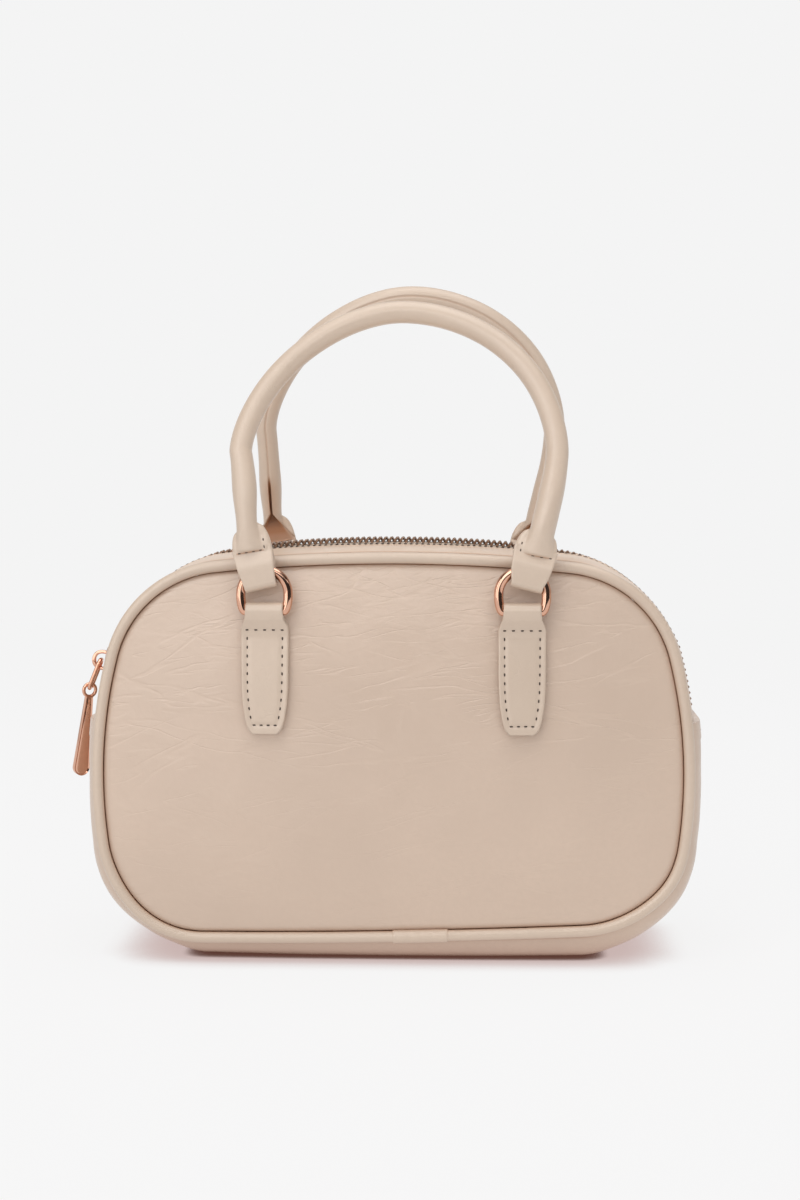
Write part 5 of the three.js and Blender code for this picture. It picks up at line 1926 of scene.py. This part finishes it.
class HANDBAG_OT_zip(bpy.types.Operator):
    """Make the zip: leather strips, woven tapes and teeth"""

    bl_idname = "handbag.zip"
    bl_label = "Zip"

    def execute(self, context):
        weave = tape_material()
        for name, side in SIDES.items():
            strip = strip_mesh(name + "_zip_leather", side)
            piece(strip, leather_material("strip"), "bag", ["zip_strip_" + name])
            tape = tape_mesh(name + "_zip_weave", side)
            piece(tape, weave, "bag", ["zip_tape_" + name])
        teeth = teeth_mesh("zip_tooth_rows")
        piece(teeth, metal_material("bronze"), "bag", ["zip_teeth"], sharp=35.0)
        return {"FINISHED"}


class HANDBAG_OT_zip_pull(bpy.types.Operator):
    """Make the zip slider and the pull that hangs from it"""

    bl_idname = "handbag.zip_pull"
    bl_label = "Slider and pull"

    def execute(self, context):
        finish = metal_material("rose_gold")
        piece(slider_mesh("slider_metal"), finish, "bag", ["zip_slider"])
        piece(link_mesh("pull_link_wire"), finish, "zip_pull", ["zip_pull_link"])
        piece(drop_mesh("pull_drop_metal"), finish, "zip_pull", ["zip_pull_drop"])
        return {"FINISHED"}


class HANDBAG_OT_rings(bpy.types.Operator):
    """Make the four D-rings"""

    bl_idname = "handbag.rings"
    bl_label = "Rings"

    def execute(self, context):
        for name, side in SIDES.items():
            for end in ENDS:
                node = f"{name}_{end.name}_ring"
                body = frame["nodes"][node]["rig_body"]
                mesh = ring_mesh(node + "_wire", side, end.ring_x)
                piece(mesh, metal_material("rose_gold"), body, [node])
        return {"FINISHED"}


class HANDBAG_OT_tabs(bpy.types.Operator):
    """Make the stitched tabs that hold the rings"""

    bl_idname = "handbag.tabs"
    bl_label = "Tabs"

    def execute(self, context):
        for name, side in SIDES.items():
            for end in ENDS:
                node = f"{name}_{end.name}_tab"
                mesh = tab_mesh(node + "_leather", side, end.ring_x)
                piece(mesh, leather_material("strap"), "bag", [node])
        return {"FINISHED"}


class HANDBAG_OT_handles(bpy.types.Operator):
    """Make the rolled handles and the loops at their ends"""

    bl_idname = "handbag.handles"
    bl_label = "Handles"

    def execute(self, context):
        for handle in HANDLES:
            node = handle.name + "_handle"
            roll = handle_roll(node + "_roll", handle)
            piece(roll, leather_material("strap"), node, [node], sharp=75.0)
            for end in ENDS:
                loop = loop_mesh(f"{node}_{end.name}_loop", handle.side, end)
                piece(loop, leather_material("strap"), node, [node])
        return {"FINISHED"}


class HANDBAG_OT_stitches(bpy.types.Operator):
    """Sew the tabs, the zip strips, the hems and the handle ends"""

    bl_idname = "handbag.stitches"
    bl_label = "Stitches"

    def execute(self, context):
        tabs = [tab_stitches(side, end.ring_x) for side in SIDES.values() for end in ENDS]
        stitch_piece("tab_stitches", tabs, "bag")
        strips = [strip_stitches(side) for side in SIDES.values()]
        strips += [hem_stitches(end.sign) for end in ENDS]
        stitch_piece("zip_stitches", strips, "bag")
        for handle in HANDLES:
            node = handle.name + "_handle"
            stitch_piece(node + "_stitches", [handle_stitches(handle)], node)
        return {"FINISHED"}


OPERATORS = [
    HANDBAG_OT_stage, HANDBAG_OT_panels, HANDBAG_OT_piping, HANDBAG_OT_gusset, HANDBAG_OT_zip,
    HANDBAG_OT_zip_pull, HANDBAG_OT_rings, HANDBAG_OT_tabs, HANDBAG_OT_handles, HANDBAG_OT_stitches,
]
SETTINGS = {
    "handbag_leather": HandbagLeather, "handbag_metal": HandbagMetal, "handbag_sewing": HandbagSewing,
    "handbag_stage": HandbagStage,
}


class HANDBAG_PT_sidebar(bpy.types.Panel):
    """Settings of the handbag and the steps that make it"""

    bl_label = "Handbag"
    bl_idname = "HANDBAG_PT_sidebar"
    bl_space_type = "VIEW_3D"
    bl_region_type = "UI"
    bl_category = "Handbag"

    def draw(self, context):
        for group_name, group in SETTINGS.items():
            box = self.layout.box()
            for prop in group.__annotations__:
                box.prop(getattr(context.scene, group_name), prop)
        for operator in OPERATORS:
            self.layout.operator(operator.bl_idname)


def register():
    """Register the settings, the operators and the sidebar panel."""
    for group_name, group in SETTINGS.items():
        bpy.utils.register_class(group)
        setattr(bpy.types.Scene, group_name, PointerProperty(type=group))
    for operator in OPERATORS:
        bpy.utils.register_class(operator)
    bpy.utils.register_class(HANDBAG_PT_sidebar)


def unregister():
    """Take the panel, the operators and the settings away again."""
    bpy.utils.unregister_class(HANDBAG_PT_sidebar)
    for operator in reversed(OPERATORS):
        bpy.utils.unregister_class(operator)
    for group_name, group in SETTINGS.items():
        delattr(bpy.types.Scene, group_name)
        bpy.utils.unregister_class(group)


def main():
    """Build the handbag."""
    register()
    bpy.ops.handbag.stage()
    bpy.ops.handbag.panels()
    bpy.ops.handbag.piping()
    bpy.ops.handbag.gusset()
    bpy.ops.handbag.zip()
    bpy.ops.handbag.zip_pull()
    bpy.ops.handbag.rings()
    bpy.ops.handbag.tabs()
    bpy.ops.handbag.handles()
    bpy.ops.handbag.stitches()


if __name__ == "__main__":
    main()
